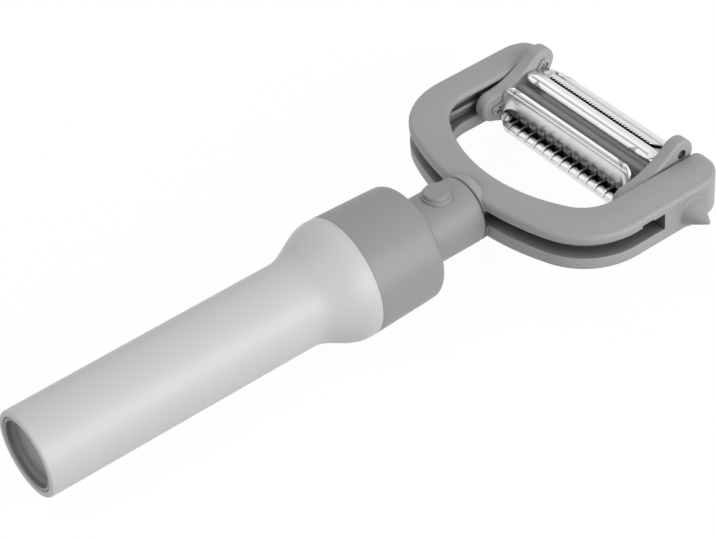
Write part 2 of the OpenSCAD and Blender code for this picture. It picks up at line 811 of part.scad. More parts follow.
// The strip with round corners, and an ear at each end that carries a pin
module blade_blank() {
    half = blade_end;
    corner = blade_w / 2 - blade_corner_r;
    intersection() {
        translate([0, 0, -half - cut]) linear_extrude(2 * (half + cut)) blade_section();
        translate([0, -crown_drop + cut, 0]) rotate([90, 0, 0]) linear_extrude(blade_bend_r / 2) {
            square([2 * corner, 2 * half], center = true);
            square([blade_w, 2 * (half - blade_corner_r)], center = true);
            for (sx = [-1, 1], sz = [-1, 1])
                translate([sx * corner, sz * (half - blade_corner_r)]) circle(r = blade_corner_r);
        }
    }
    for (s = [0, 1]) mirror([0, 0, s]) translate([0, 0, half - blade_t]) linear_extrude(blade_t) difference() {
        union() {
            circle(r = ear_r);
            polygon([[-ear_r, 0], [ear_r, 0], [ear_base, -crown_drop - blade_t / 2], [-ear_base, -crown_drop - blade_t / 2]]);
        }
        circle(r = pin_r + fit / 2);
    }
}

module slot_cut(from, to) {
    translate([-to, -blade_bend_r / 2, -slot_len / 2]) cube([to - from, blade_bend_r / 2, slot_len]);
}

// The raised cutting lip beside the slot; its edge faces the cut
module cutting_lip() {
    top_y = -crown_drop + lip_rise;
    translate([0, 0, -slot_len / 2]) linear_extrude(slot_len)
        polygon([[-lip_slot[0], top_y], [0, top_y + lip_t / 4], [lip_back, -crown_drop - lip_t / 2],
            [lip_back - lip_t, -crown_drop - blade_t / 2], [0, top_y - lip_t]]);
}

module julienne_blade() {
    mid = (julienne_slot[0] + julienne_slot[1]) / 2;
    count = floor((slot_len - relief_r) / tooth_pitch);
    color("silver") at_blade(0) {
        difference() {
            blade_blank();
            slot_cut(julienne_slot[0], julienne_slot[1]);
            for (s = [-1, 1]) translate([-mid, 0, s * slot_len / 2]) rotate([90, 0, 0])
                cylinder(h = blade_bend_r / 2, r = relief_r);
        }
        for (i = [0 : count - 1])
            translate([0, 0, (i - (count - 1) / 2) * tooth_pitch - tooth_t / 2]) linear_extrude(tooth_t)
                polygon([[-julienne_slot[1] - tooth_t, -crown_drop - blade_t], [-julienne_slot[0] - tooth_t, -crown_drop - blade_t / 2],
                    [-julienne_slot[0] - tooth_t, tooth_rise - crown_drop], [-julienne_slot[1] - tooth_t, -crown_drop - blade_t / 2]]);
    }
}

module serrated_blade() {
    count = floor((slot_len - 2 * serration_pitch) / serration_pitch);
    color("silver") at_blade(1) difference() {
        union() {
            difference() {
                blade_blank();
                slot_cut(-lip_back + blade_t, lip_slot[1]);
            }
            cutting_lip();
        }
        for (i = [0 : count - 1])
            translate([-lip_slot[0] - serration_r / 4, 0, (i - (count - 1) / 2) * serration_pitch]) rotate([90, 0, 0])
                translate([0, 0, -cut]) cylinder(h = 4 * cut, r = serration_r, $fn = 16);
    }
}

module straight_blade() {
    color("silver") at_blade(2) {
        difference() {
            blade_blank();
            slot_cut(-lip_back + blade_t, lip_slot[1]);
        }
        cutting_lip();
    }
}

// The two pins of a blade, riveted in its ears
module blade_pins(i) {
    inner = blade_end - blade_t - pin_inside;
    color("silver") at_blade(i) for (s = [0, 1]) mirror([0, 0, s])
        translate([0, 0, inner]) cylinder(h = plate_out - pin_recess - inner, r = pin_r);
}

module julienne_pins() {
    blade_pins(0);
}

module serrated_pins() {
    blade_pins(1);
}

module straight_pins() {
    blade_pins(2);
}

handle_grip();
end_cap();
handle_core();
core_screws();
collar();
neck();
rear_bush();
front_bush();
head_button();
lock_slider();
friction_pad();
button_spring();
yoke();
stem_washer();
stem_screw();
detent_ball();
detent_spring();
left_end_plate();
right_end_plate();
carriage_beam();
carriage_screws();
julienne_blade();
julienne_pins();
serrated_blade();
serrated_pins();
straight_blade();
straight_pins();
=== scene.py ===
import math

import bmesh
import bpy
from mathutils import Matrix, Vector


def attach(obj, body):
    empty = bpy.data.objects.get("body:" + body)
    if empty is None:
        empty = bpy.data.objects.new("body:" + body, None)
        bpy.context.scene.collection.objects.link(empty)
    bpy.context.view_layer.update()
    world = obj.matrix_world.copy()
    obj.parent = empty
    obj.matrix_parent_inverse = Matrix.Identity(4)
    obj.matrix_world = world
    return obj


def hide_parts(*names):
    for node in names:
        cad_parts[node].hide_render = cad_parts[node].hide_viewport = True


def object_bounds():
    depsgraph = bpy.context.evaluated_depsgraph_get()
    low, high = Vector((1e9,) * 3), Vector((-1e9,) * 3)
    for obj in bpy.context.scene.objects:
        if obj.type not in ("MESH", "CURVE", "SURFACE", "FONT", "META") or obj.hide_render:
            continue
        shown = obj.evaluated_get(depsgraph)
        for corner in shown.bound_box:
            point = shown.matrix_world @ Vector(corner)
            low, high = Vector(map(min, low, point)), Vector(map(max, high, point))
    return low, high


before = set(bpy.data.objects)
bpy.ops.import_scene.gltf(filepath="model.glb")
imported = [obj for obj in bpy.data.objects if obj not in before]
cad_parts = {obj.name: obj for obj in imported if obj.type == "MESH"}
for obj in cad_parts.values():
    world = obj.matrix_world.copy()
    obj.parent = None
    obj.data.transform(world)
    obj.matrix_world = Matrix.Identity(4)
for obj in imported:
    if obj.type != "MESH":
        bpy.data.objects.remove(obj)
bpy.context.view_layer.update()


# The grip: the white sleeve that the hand holds, flared into a mouth at its front.
# It is injection moulded in a satin plastic and is clamped between the end cap and
# the collar. Its bore is stepped for the cap behind and for the collar's spigot in front.
MM = 0.001
DOUBLE = 0.5e-6


def maths(tree, operation, *values):
    """A Math node on numbers and sockets."""
    step = tree.nodes.new("ShaderNodeMath")
    step.operation = operation
    for k, value in enumerate(values):
        if isinstance(value, (int, float)):
            step.inputs[k].default_value = value
        else:
            tree.links.new(value, step.inputs[k])
    return step.outputs[0]


def add(tree, kind, **inputs):
    """A new node in a tree, with the named inputs set to their values."""
    step = tree.nodes.new(kind)
    for name, value in inputs.items():
        step.inputs[name.replace("_", " ")].default_value = value
    return step


def painted_hollow_shade(tree, colour, reach, least, power):
    """Paints shade into a colour in deep grooves and hollows, darker where ambient occlusion finds the
    surface closed in.
    """
    hidden = add(tree, "ShaderNodeAmbientOcclusion", Distance=reach)
    hidden.samples, hidden.only_local = 12, True
    lift = add(tree, "ShaderNodeMapRange", To_Min=least, To_Max=1)
    both = tree.nodes.new("ShaderNodeVectorMath")
    both.operation = "SCALE"
    tree.links.new(maths(tree, "POWER", hidden.outputs["AO"], power), lift.inputs["Value"])
    tree.links.new(colour, both.inputs[0])
    tree.links.new(lift.outputs["Result"], both.inputs["Scale"])
    return both.outputs[0]


def paint(name, colour, shade, roughness, grain, depth):
    """Moulded plastic: a fine grain, a faint cloudiness, slow changes of gloss and painted shade in its
    hollows.
    """
    material = bpy.data.materials.new(name)
    material.use_nodes = True
    tree = material.node_tree
    shader = tree.nodes["Principled BSDF"]
    place = tree.nodes.new("ShaderNodeTexCoord")
    clouds = add(tree, "ShaderNodeTexNoise", Scale=60, Detail=3)
    skin = add(tree, "ShaderNodeTexNoise", Scale=grain, Detail=4, Roughness=0.6)
    wave = add(tree, "ShaderNodeTexNoise", Scale=90)
    tint = tree.nodes.new("ShaderNodeMix")
    tint.data_type = "RGBA"
    tint.inputs["A"].default_value = [*[c * 0.98 for c in colour], 1]
    tint.inputs["B"].default_value = [*[min(1, c * shade) for c in colour], 1]
    gloss = add(tree, "ShaderNodeMapRange", To_Min=roughness * 0.92, To_Max=roughness * 1.1)
    fine = add(tree, "ShaderNodeBump", Strength=0.35, Distance=depth)
    sink = add(tree, "ShaderNodeBump", Strength=0.25, Distance=0.00008)
    link = tree.links.new
    for texture in (clouds, skin, wave):
        link(place.outputs["Object"], texture.inputs["Vector"])
    link(clouds.outputs["Fac"], tint.inputs["Factor"])
    # The base colour carries painted shade: it is darkened wherever ambient occlusion finds a groove or
    # hollow.
    shaded = painted_hollow_shade(tree, tint.outputs["Result"], reach=0.008, least=0.14, power=1.5)
    link(shaded, shader.inputs["Base Color"])
    link(skin.outputs["Fac"], gloss.inputs["Value"])
    link(gloss.outputs["Result"], shader.inputs["Roughness"])
    link(skin.outputs["Fac"], fine.inputs["Height"])
    link(wave.outputs["Fac"], sink.inputs["Height"])
    link(sink.outputs["Normal"], fine.inputs["Normal"])
    link(fine.outputs["Normal"], shader.inputs["Normal"])
    return material


def smooth(mesh, sharp=35):
    mesh.shade_smooth()
    mesh.set_sharp_from_angle(angle=math.radians(sharp))


def linked(name, mesh):
    piece = bpy.data.objects.new(name, mesh)
    bpy.context.scene.collection.objects.link(piece)
    return piece


def solid(name, points, faces, material, sharp=35):
    """A piece from points in millimetres, without doubles and with its faces outwards."""
    mesh = bpy.data.meshes.new(name)
    mesh.from_pydata([Vector(p) * MM for p in points], [], faces)
    work = bmesh.new()
    work.from_mesh(mesh)
    bmesh.ops.remove_doubles(work, verts=work.verts, dist=DOUBLE)
    bmesh.ops.dissolve_degenerate(work, edges=work.edges, dist=DOUBLE)
    bmesh.ops.recalc_face_normals(work, faces=work.faces)
    work.to_mesh(mesh)
    work.free()
    smooth(mesh, sharp)
    mesh.materials.append(material)
    return linked(name, mesh)


def belongs(piece, body, slot, *replaced):
    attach(piece, body)
    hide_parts(*replaced)


def arc(cx, cy, r, start, end, steps):
    turn = [math.radians(start + (end - start) * i / steps) for i in range(steps + 1)]
    return [(cx + r * math.cos(a), cy + r * math.sin(a)) for a in turn]


def turned_mesh(outline, segments=160, about="X", centre=(0, 0, 0)):
    """Points and faces of a turned piece. The outline is a closed loop of (place, radius)."""
    points, faces, rings = [], [], []
    for place, radius in outline:
        ring = []
        for i in range(segments if radius > 1e-6 else 1):
            a = 2 * math.pi * i / segments
            across, up = radius * math.cos(a), radius * math.sin(a)
            local = {"X": (place, across, up), "Y": (across, place, up), "Z": (across, up, place)}[about]
            ring.append(len(points))
            points.append([local[k] + centre[k] for k in range(3)])
        rings.append(ring)
    closed = all(r > 1e-6 for _, r in outline)
    for k in range(len(rings) if closed else len(rings) - 1):
        first, second = rings[k], rings[(k + 1) % len(rings)]
        if len(first) == 1 and len(second) == 1:
            continue
        for i in range(segments):
            j = (i + 1) % segments
            near = [first[i % len(first)], first[j % len(first)]]
            far = [second[j % len(second)], second[i % len(second)]]
            faces.append(list(dict.fromkeys(near + far)))
    return points, faces


GRIP_END, GRIP_FRONT = -2.5, 91.1
GRIP_R, MOUTH_R, GRIP_BORE = 11.55, 16.45, 9.5
FLARE_START, FLARE_LENGTH, FLARE_STEPS = 75.0, 14.0, 28
CAP_R, CAP_SEAT, PLAY = 9.95, 2.6, 0.05
SPIGOT_R, SPIGOT_ROOM = 13.1, 6.8
END_SOFT, MOUTH_SOFT, RIM_SOFT = 0.8, 0.18, 0.4
white = paint("white satin plastic", [0.70] * 3, shade=1.02, roughness=0.38, grain=5200, depth=6e-6)
flare = []
for i in range(FLARE_STEPS + 1):
    s = i / FLARE_STEPS
    flare.append((FLARE_START + FLARE_LENGTH * s, GRIP_R + (MOUTH_R - GRIP_R) * s * s * (3 - 2 * s)))
grip_outline = (
    arc(GRIP_END + END_SOFT, GRIP_R - END_SOFT, END_SOFT, 180, 90, 10)
    + [(10 * k, GRIP_R) for k in range(1, 8)] + flare
    + arc(GRIP_FRONT - MOUTH_SOFT, MOUTH_R - MOUTH_SOFT, MOUTH_SOFT, 90, 0, 4)
    + [(GRIP_FRONT, SPIGOT_R + PLAY), (GRIP_FRONT - SPIGOT_ROOM, SPIGOT_R + PLAY)]
    + [(GRIP_FRONT - SPIGOT_ROOM, GRIP_BORE), (CAP_SEAT, GRIP_BORE), (CAP_SEAT, CAP_R + PLAY)]
    + arc(GRIP_END + RIM_SOFT, CAP_R + PLAY + RIM_SOFT, RIM_SOFT, 270, 180, 6)
)
grip = solid("handle_grip_skin", *turned_mesh(grip_outline), white)
belongs(grip, "handle", "white_plastic", "handle_grip")


# The end cap: a shallow cup that closes the grip's rear end, with its rim just inside the
# grip's rim. It is moulded in the grey plastic, and two hooks on its skirt snap into the
# core. The cup's walls run into its floor with a soft curve.
grey = paint("grey satin plastic", [0.345] * 3, shade=1.05, roughness=0.42, grain=6200, depth=7e-6)
CUP_DEPTH, CUP_WALL, CUP_SOFT = 2.2, 1.0, 1.3
RIM_IN, RIM_OUT = 0.3, 0.35
SKIRT_R, SKIRT_WALL, SKIRT_LENGTH = 7.8, 1.4, 9.0
cap_outline = (
    [(0, 0)]
    + arc(-CUP_SOFT, CAP_R - CUP_WALL - CUP_SOFT, CUP_SOFT, 0, 90, 8)
    + arc(-CUP_DEPTH + RIM_IN, CAP_R - CUP_WALL + RIM_IN, RIM_IN, 270, 180, 4)
    + arc(-CUP_DEPTH + RIM_OUT, CAP_R - RIM_OUT, RIM_OUT, 180, 90, 5)
    + [(CAP_SEAT, CAP_R), (CAP_SEAT, SKIRT_R), (CAP_SEAT + SKIRT_LENGTH, SKIRT_R)]
    + [(CAP_SEAT + SKIRT_LENGTH, SKIRT_R - SKIRT_WALL), (CAP_SEAT, SKIRT_R - SKIRT_WALL), (CAP_SEAT, 0)]
)
cap = solid("end_cap_skin", *turned_mesh(cap_outline), grey)
belongs(cap, "handle", "grey_plastic", "end_cap")


# The collar: the grey ring that covers the joint between grip and neck. It is moulded
# smooth, tapers a little to the front and ends in a soft shoulder. A spigot behind it
# plugs into the grip's mouth, and its front wall holds the neck's flange.
COLLAR_FRONT, COLLAR_LENGTH, COLLAR_FRONT_R, COLLAR_BORE, NECK_R = 111.9, 20.8, 15.75, 11.6, 9.175
REAR_SOFT, SHOULDER_R, SHOULDER_LIFT, HOLE_SOFT = 0.2, 2.0, 0.02, 0.25
FRONT_WALL, SPIGOT_LENGTH = 4.0, 4.8
collar_outline = (
    arc(GRIP_FRONT + REAR_SOFT, MOUTH_R - REAR_SOFT, REAR_SOFT, 180, 95, 4)
    + [(GRIP_FRONT + k, MOUTH_R - (MOUTH_R - COLLAR_FRONT_R) * k / COLLAR_LENGTH) for k in (4, 8, 12, 16)]
    + arc(COLLAR_FRONT - SHOULDER_R, COLLAR_FRONT_R - SHOULDER_R + SHOULDER_LIFT, SHOULDER_R, 88, 0, 12)
    + arc(COLLAR_FRONT - HOLE_SOFT, NECK_R + PLAY + HOLE_SOFT, HOLE_SOFT, 0, -90, 4)
    + [(COLLAR_FRONT - FRONT_WALL, NECK_R + PLAY), (COLLAR_FRONT - FRONT_WALL, COLLAR_BORE)]
    + [(GRIP_FRONT - SPIGOT_LENGTH, COLLAR_BORE), (GRIP_FRONT - SPIGOT_LENGTH, SPIGOT_R)]
    + [(GRIP_FRONT, SPIGOT_R)]
)
collar = solid("collar_skin", *turned_mesh(collar_outline), grey)
belongs(collar, "handle", "grey_plastic", "collar")


# The button: a round plug with a soft shoulder that stands out of the neck. It is moulded
# in the collar's grey plastic and sits on the lock slider's post. Pressing it lets go
# of the yoke's stem.
BUTTON_X, BUTTON_R, BUTTON_FOOT, BUTTON_STEP, BUTTON_TOP = 121.8, 4.15, 6.975, 9.85, 10.775
TOP_SOFT, TOP_INSET, STEP_SOFT, POST_R, POST_ROOM = 0.55, 1.15, 0.45, 1.925, 1.45
button_outline = (
    [(BUTTON_TOP - 0.12, 0), (BUTTON_TOP - 0.08, 1.4), (BUTTON_TOP - 0.02, 2.4)]
    + arc(BUTTON_TOP - TOP_SOFT, BUTTON_R - TOP_INSET, TOP_SOFT, 0, 90, 8)
    + arc(BUTTON_STEP - STEP_SOFT, BUTTON_R - STEP_SOFT, STEP_SOFT, 0, 90, 6)
    + [(BUTTON_FOOT, BUTTON_R), (BUTTON_FOOT, POST_R), (BUTTON_FOOT + POST_ROOM, POST_R)]
    + [(BUTTON_FOOT + POST_ROOM, 0)]
)
button = solid("head_button_skin", *turned_mesh(button_outline, 96, "Z", (BUTTON_X, 0, 0)), grey)
belongs(button, "button", "grey_plastic", "head_button")


# The yoke: a U-shaped fork in one grey moulding with the stem that turns in the neck. A
# channel runs round its outside to a stepped end beside each axle, and a recess with a rail
# lies inside each arm. The right arm carries a small cone that digs the eyes out of potatoes.
# The head's parts are the collar's grey plastic painted lighter here: painted light for the light that falls
# on the head.
head_grey_painted_lighter = paint("head grey plastic", [0.415] * 3, shade=1.05, roughness=0.42, grain=6200, depth=7e-6)
YOKE_X, BASE_T, TIP_X, AXLE_X = 130.5, 8.1, 185.2, 172.4
YOKE_HALF, GAP_HALF = 39.8, 29.3
CROWN_Z, CROWN_R, FOOT_Z, CROWN_LEAN = 7.75, 16.0, -5.8, 1.9
CHANNEL_LOW, CHANNEL_TOP, CHANNEL_DEPTH = -0.52, 3.78, 4.6
CHANNEL_START, CHANNEL_END, STEP_LENGTH, STEP_H = 5.5, 163.1, 7.6, 0.8
RECESS_DEPTH, RECESS_LOW, RECESS_TOP, RECESS_START, RECESS_END = 2.6, -1.4, 5.9, 147.3, 161.3
RAIL_LOW, RAIL_TOP, RAIL_DEPTH, POCKET_LOW, POCKET_END = 1.45, 2.55, 1.3, 4.2, 178.3
TIP_OUT_R, TIP_IN_R = 8.4, 3.0


def fork_side(x0, base_r, corner_r, half):
    """Centre of the base's curve, centre of the corner, and the angle at which they meet."""
    base_x = x0 + base_r
    corner_y = half - corner_r
    across = math.sqrt((base_r - corner_r) ** 2 - corner_y ** 2)
    return base_x, base_x - across, corner_y, math.degrees(math.atan2(corner_y, across))


OUT_R, OUT_CORNER, IN_R, IN_CORNER = 80.0, 19.5, 46.0, 11.5
out_base_x, out_corner_x, out_corner_y, out_turn = fork_side(YOKE_X, OUT_R, OUT_CORNER, YOKE_HALF)
in_base_x, in_corner_x, in_corner_y, in_turn = fork_side(YOKE_X + BASE_T, IN_R, IN_CORNER, GAP_HALF)
ARM_X = 157.0


def on_base(share):
    """The fork's outer and inner point at a share of the base's curve."""
    a, b = math.radians(out_turn * share), math.radians(in_turn * share)
    outer = (out_base_x - OUT_R * math.cos(a), OUT_R * math.sin(a))
    return outer, (in_base_x - IN_R * math.cos(b), IN_R * math.sin(b))


def on_corner(share):
    a = math.radians(out_turn + (90 - out_turn) * share)
    b = math.radians(in_turn + (90 - in_turn) * share)
    outer = (out_corner_x - OUT_CORNER * math.cos(a), out_corner_y + OUT_CORNER * math.sin(a))
    return outer, (in_corner_x - IN_CORNER * math.cos(b), in_corner_y + IN_CORNER * math.sin(b))


def on_arm(x):
    back = max(TIP_X - x, 0)
    outer, inner = YOKE_HALF, GAP_HALF
    if back < TIP_OUT_R:
        outer -= TIP_OUT_R - math.sqrt(max(TIP_OUT_R ** 2 - (TIP_OUT_R - back) ** 2, 0))
    if back < TIP_IN_R:
        inner += TIP_IN_R - math.sqrt(max(TIP_IN_R ** 2 - (TIP_IN_R - back) ** 2, 0))
    inner_x = x
    if x <= ARM_X:
        inner_x = in_corner_x + (ARM_X - in_corner_x) * (x - out_corner_x) / (ARM_X - out_corner_x)
    return (x, outer), (inner_x, inner)


def arm_section(width, channel=0, step=0, recess=0, pocket=0, squeeze=1):
    """The arm's section as (place from the inner side, height), once round."""
    top_line = width / 2 - CROWN_LEAN

    def crown(a):
        return CROWN_Z - CROWN_R + math.sqrt(CROWN_R ** 2 - (a - top_line) ** 2)

    def foot(a):
        return FOOT_Z + CROWN_R - math.sqrt(CROWN_R ** 2 - (a - top_line) ** 2)

    def quarter(steps):
        turns = [math.pi / 2 * k / steps for k in range(steps + 1)]
        return [(math.sin(a), math.cos(a)) for a in turns]

    inner_soft, outer_soft, low_soft = 1.1, 1.4, 0.9
    ring = [(inner_soft * (1 - c), crown(inner_soft) - inner_soft * (1 - s)) for s, c in quarter(6)]
    flat, edge = width - inner_soft - outer_soft, crown(width - outer_soft)
    ring += [(a, crown(a)) for a in [inner_soft + flat * k / 12 for k in range(1, 12)]]
    ring += [(width - outer_soft * (1 - s), edge - outer_soft * (1 - c)) for s, c in quarter(7)]
    top, low, deep = CHANNEL_TOP + step, CHANNEL_LOW, CHANNEL_DEPTH * channel
    soft, cut = 0.28, 0.08
    ring += [(width, top + soft), (width - cut * channel, top + cut), (width - soft * channel, top)]
    ring += [(width - deep, top), (width - deep, low)]
    ring += [(width - soft * channel, low), (width - cut * channel, low - cut), (width, low - soft)]
    ring += [(width - low_soft * (1 - c), foot(width - low_soft) + low_soft * (1 - s)) for s, c in quarter(5)]
    ring += [(a, foot(a)) for a in [width - low_soft - (width - 2 * low_soft) * k / 8 for k in range(1, 8)]]
    ring += [(low_soft * (1 - s), foot(low_soft) + low_soft * (1 - c)) for s, c in quarter(5)]
    open_low, open_top = min(recess, 1), min(recess + pocket, 1)
    deep, high = RECESS_DEPTH * recess, RECESS_DEPTH * max(recess, pocket)
    rail = max(deep - RAIL_DEPTH, 0)
    soft, cut = 0.25, 0.07
    ring += [(0, RECESS_LOW - soft), (cut * open_low, RECESS_LOW - cut), (soft * open_low, RECESS_LOW)]
    ring += [(deep, RECESS_LOW), (deep, RAIL_LOW), (rail, RAIL_LOW), (rail, RAIL_TOP)]
    ring += [(deep, RAIL_TOP), (deep, POCKET_LOW), (high, POCKET_LOW), (high, RECESS_TOP)]
    ring += [(soft * open_top, RECESS_TOP), (cut * open_top, RECESS_TOP + cut), (0, RECESS_TOP + soft)]
    middle = (CROWN_Z + FOOT_Z) / 2
    return [(a, middle + (z - middle) * squeeze) for a, z in ring]


def tip_squeeze(x, depth=3.4, least=0.5):
    back = min(max(TIP_X - x, 0) / depth, 1)
    return least + (1 - least) * math.sqrt(1 - (1 - back) ** 2)


def bands(rings, count, capped=True):
    """The faces over rings of points that follow each other, with a cap at both ends."""
    faces = []
    for k in range(rings - 1):
        for j in range(count):
            here, there, n = k * count, (k + 1) * count, (j + 1) % count
            faces.append((here + j, here + n, there + n, there + j))
    if capped:
        faces += [tuple(range(count)), tuple(range((rings - 1) * count, rings * count))]
    return faces


# Two stations a hair's breadth apart make a sharp step in the arm.
HAIR = 0.004
BASE_STEPS, CORNER_STEPS, TIP_STEPS = 40, 36, 26
stations = []
channel_share = math.degrees(math.asin(CHANNEL_START / OUT_R)) / out_turn
for k in range(BASE_STEPS + 1):
    share = k / BASE_STEPS
    stations.append((on_base(share), dict(channel=1 if share > channel_share else 0)))
    if share <= channel_share < (k + 1) / BASE_STEPS:
        stations += [(on_base(channel_share), dict()), (on_base(channel_share + HAIR / 100), dict(channel=1))]
for k in range(1, CORNER_STEPS + 1):
    place = on_corner(k / CORNER_STEPS)
    (outer_x, outer_y), (inner_x, inner_y) = place
    to_floor = (GAP_HALF + RECESS_DEPTH - inner_y) / (outer_y - inner_y)
    to_wall = (inner_x - RECESS_START) / max(inner_x - outer_x, HAIR)
    depth = max(min(to_floor, to_wall), 0) * math.dist(*place) / RECESS_DEPTH
    stations.append((place, dict(channel=1, recess=depth)))
half_step = STEP_LENGTH / 2
for state, places in (
    (dict(channel=1, recess=1), (154.6, CHANNEL_END - STEP_LENGTH)),
    (dict(channel=1, step=STEP_H, recess=1),
     (CHANNEL_END - STEP_LENGTH + HAIR, ARM_X + 0.3, CHANNEL_END - half_step)),
    (dict(channel=1, step=STEP_H / 2, recess=1), (CHANNEL_END - half_step + HAIR, RECESS_END)),
    (dict(channel=1, step=STEP_H / 2, pocket=1), (RECESS_END + HAIR, CHANNEL_END)),
    (dict(pocket=1), (CHANNEL_END + HAIR, 166.0, 170.0, 174.0)),
):
    stations += [(on_arm(x), state) for x in places]
for k in range(TIP_STEPS + 1):
    x = TIP_X - TIP_OUT_R * (1 - math.sin(math.radians(90 * k / TIP_STEPS)))
    if x > POCKET_END > stations[-1][0][0][0]:
        stations += [(on_arm(POCKET_END), dict(pocket=1)), (on_arm(POCKET_END + HAIR), dict())]
    stations.append((on_arm(x), dict(pocket=1 if x < POCKET_END else 0, squeeze=tip_squeeze(x))))
right_side = [(((o[0], -o[1]), (i[0], -i[1])), state) for (o, i), state in reversed(stations[1:])]
whole = right_side + stations
points = []
for (outer, inner), state in whole:
    width = math.dist(outer, inner)
    for a, z in arm_section(width, **state):
        share = a / width
        points.append((*[i + (o - i) * share for i, o in zip(inner, outer)], z))
fork = solid("yoke_fork", points, bands(len(whole), len(points) // len(whole)), head_grey_painted_lighter)


def settled(piece):
    """Keeps what the modifiers make of a piece as its plain mesh."""
    bpy.context.view_layer.update()
    mesh = bpy.data.meshes.new_from_object(piece.evaluated_get(bpy.context.evaluated_depsgraph_get()))
    piece.modifiers.clear()
    piece.data = mesh
    smooth(mesh)


def cut_away(piece, *cutters):
    """Cuts the given closed pieces out of a piece, and drops them."""
    for k, cutter in enumerate(cutters):
        step = piece.modifiers.new(f"cut {k}", "BOOLEAN")
        step.operation, step.solver, step.object = "DIFFERENCE", "EXACT", cutter
    settled(piece)
    for cutter in cutters:
        bpy.data.objects.remove(cutter)


def plug(x, radius, y0, y1, segments=64):
    outline = [(y0, 0), (y0, radius), (y1, radius), (y1, 0)]
    return solid("plug", *turned_mesh(outline, segments, "Y", (x, 0, 0)), head_grey_painted_lighter)


def block(name, low, high, material):
    x0, y0, z0 = low
    x1, y1, z1 = high
    spots = [(x, y, z) for x in (x0, x1) for y in (y0, y1) for z in (z0, z1)]
    faces = [(0, 1, 3, 2), (4, 6, 7, 5), (0, 4, 5, 1), (2, 3, 7, 6), (0, 2, 6, 4), (1, 5, 7, 3)]
    return solid(name, spots, faces, material)


AXLE_BORE_R, AXLE_BORE_DEEP = 3.56, 5.2
DETENT_BACK, DETENT_BORE_R, DETENT_BORE_DEEP = 6.4, 1.56, 7
cut_away(
    fork,
    plug(AXLE_X, AXLE_BORE_R, GAP_HALF - 1, GAP_HALF + AXLE_BORE_DEEP),
    plug(AXLE_X, AXLE_BORE_R, -GAP_HALF - AXLE_BORE_DEEP, -GAP_HALF + 1),
    plug(AXLE_X - DETENT_BACK, DETENT_BORE_R, GAP_HALF - 1, GAP_HALF + DETENT_BORE_DEEP, 40),
)
STEM_END, STEM_R, STEM_SOFT, SCREW_BORE_R, SCREW_BORE_END = 104.35, 4.0, 0.4, 1.45, 116.85
BOSS_R, BOSS_LENGTH, BOSS_EDGE, BOSS_SOFT, MOUTH_PLAY = 9.1, 3.6, 0.15, 2.4, 0.06
stem_outline = (
    [(SCREW_BORE_END, 0), (SCREW_BORE_END, SCREW_BORE_R), (STEM_END, SCREW_BORE_R)]
    + arc(STEM_END + STEM_SOFT, STEM_R - STEM_SOFT, STEM_SOFT, 180, 90, 4)
    + [(YOKE_X + 4, STEM_R), (YOKE_X + 4, 0)]
)
stem = solid("yoke_stem", *turned_mesh(stem_outline, 96), head_grey_painted_lighter)
boss_outline = (
    [(YOKE_X, 0)] + arc(YOKE_X + BOSS_EDGE, BOSS_R - BOSS_EDGE, BOSS_EDGE, 180, 90, 3)
    + arc(YOKE_X + BOSS_LENGTH - BOSS_SOFT, BOSS_R - BOSS_SOFT, BOSS_SOFT, 88, 0, 12)
    + [(YOKE_X + BOSS_LENGTH, 0)]
)
boss = solid("yoke_boss", *turned_mesh(boss_outline, 128), head_grey_painted_lighter)
mouth_low = (YOKE_X - 1, -15, CHANNEL_LOW - MOUTH_PLAY)
mouth_high = (YOKE_X + 6, 15, CHANNEL_TOP + MOUTH_PLAY)
cut_away(boss, block("mouth", mouth_low, mouth_high, head_grey_painted_lighter))
nub_outline = [
    (-38.6, 0), (-38.6, 4.5), (-39.75, 4.5), (-39.83, 4.22), (-40.0, 4.0), (-40.3, 3.76), (-40.8, 3.44),
    (-41.7, 2.92), (-42.8, 2.3), (-43.9, 1.68), (-45.0, 1.06), (-45.8, 0.6), (-46.12, 0.38), (-46.27, 0.18),
    (-46.3, 0),
]
nub = solid("yoke_nub", *turned_mesh(nub_outline, 72, "Y", (AXLE_X, 0, 0)), head_grey_painted_lighter)


def joined(name, *pieces):
    """One object from several closed shells."""
    work = bmesh.new()
    for piece in pieces:
        work.from_mesh(piece.data)
    mesh = bpy.data.meshes.new(name)
    work.to_mesh(mesh)
    work.free()
    mesh.materials.append(pieces[0].data.materials[0])
    for piece in pieces:
        bpy.data.objects.remove(piece)
    smooth(mesh)
    return linked(name, mesh)


yoke = joined("yoke_skin", fork, stem, boss, nub)
belongs(yoke, "head", "grey_plastic", "yoke")


# The end plates of the blade carriage: three-lobed plates with hollow sides, moulded in
# the grey plastic, with rounded edges. Each lobe holds the pins of one blade in a bore
# that is sunk on the outside, and a trunnion behind the plate turns in the yoke's arm.
PIVOT_R, LOBE_R, HOLLOW_R, HALF_PITCH = 10.6, 4.0, 24.0, 60
PLATE_IN, PLATE_OUT, TRUNNION_R, TRUNNION_END = 25.0, 28.9, 3.5, 33.5
BLADE_ANGLES = (172, 52, -68)
LOBE_STEPS, WEB_STEPS = 30, 20


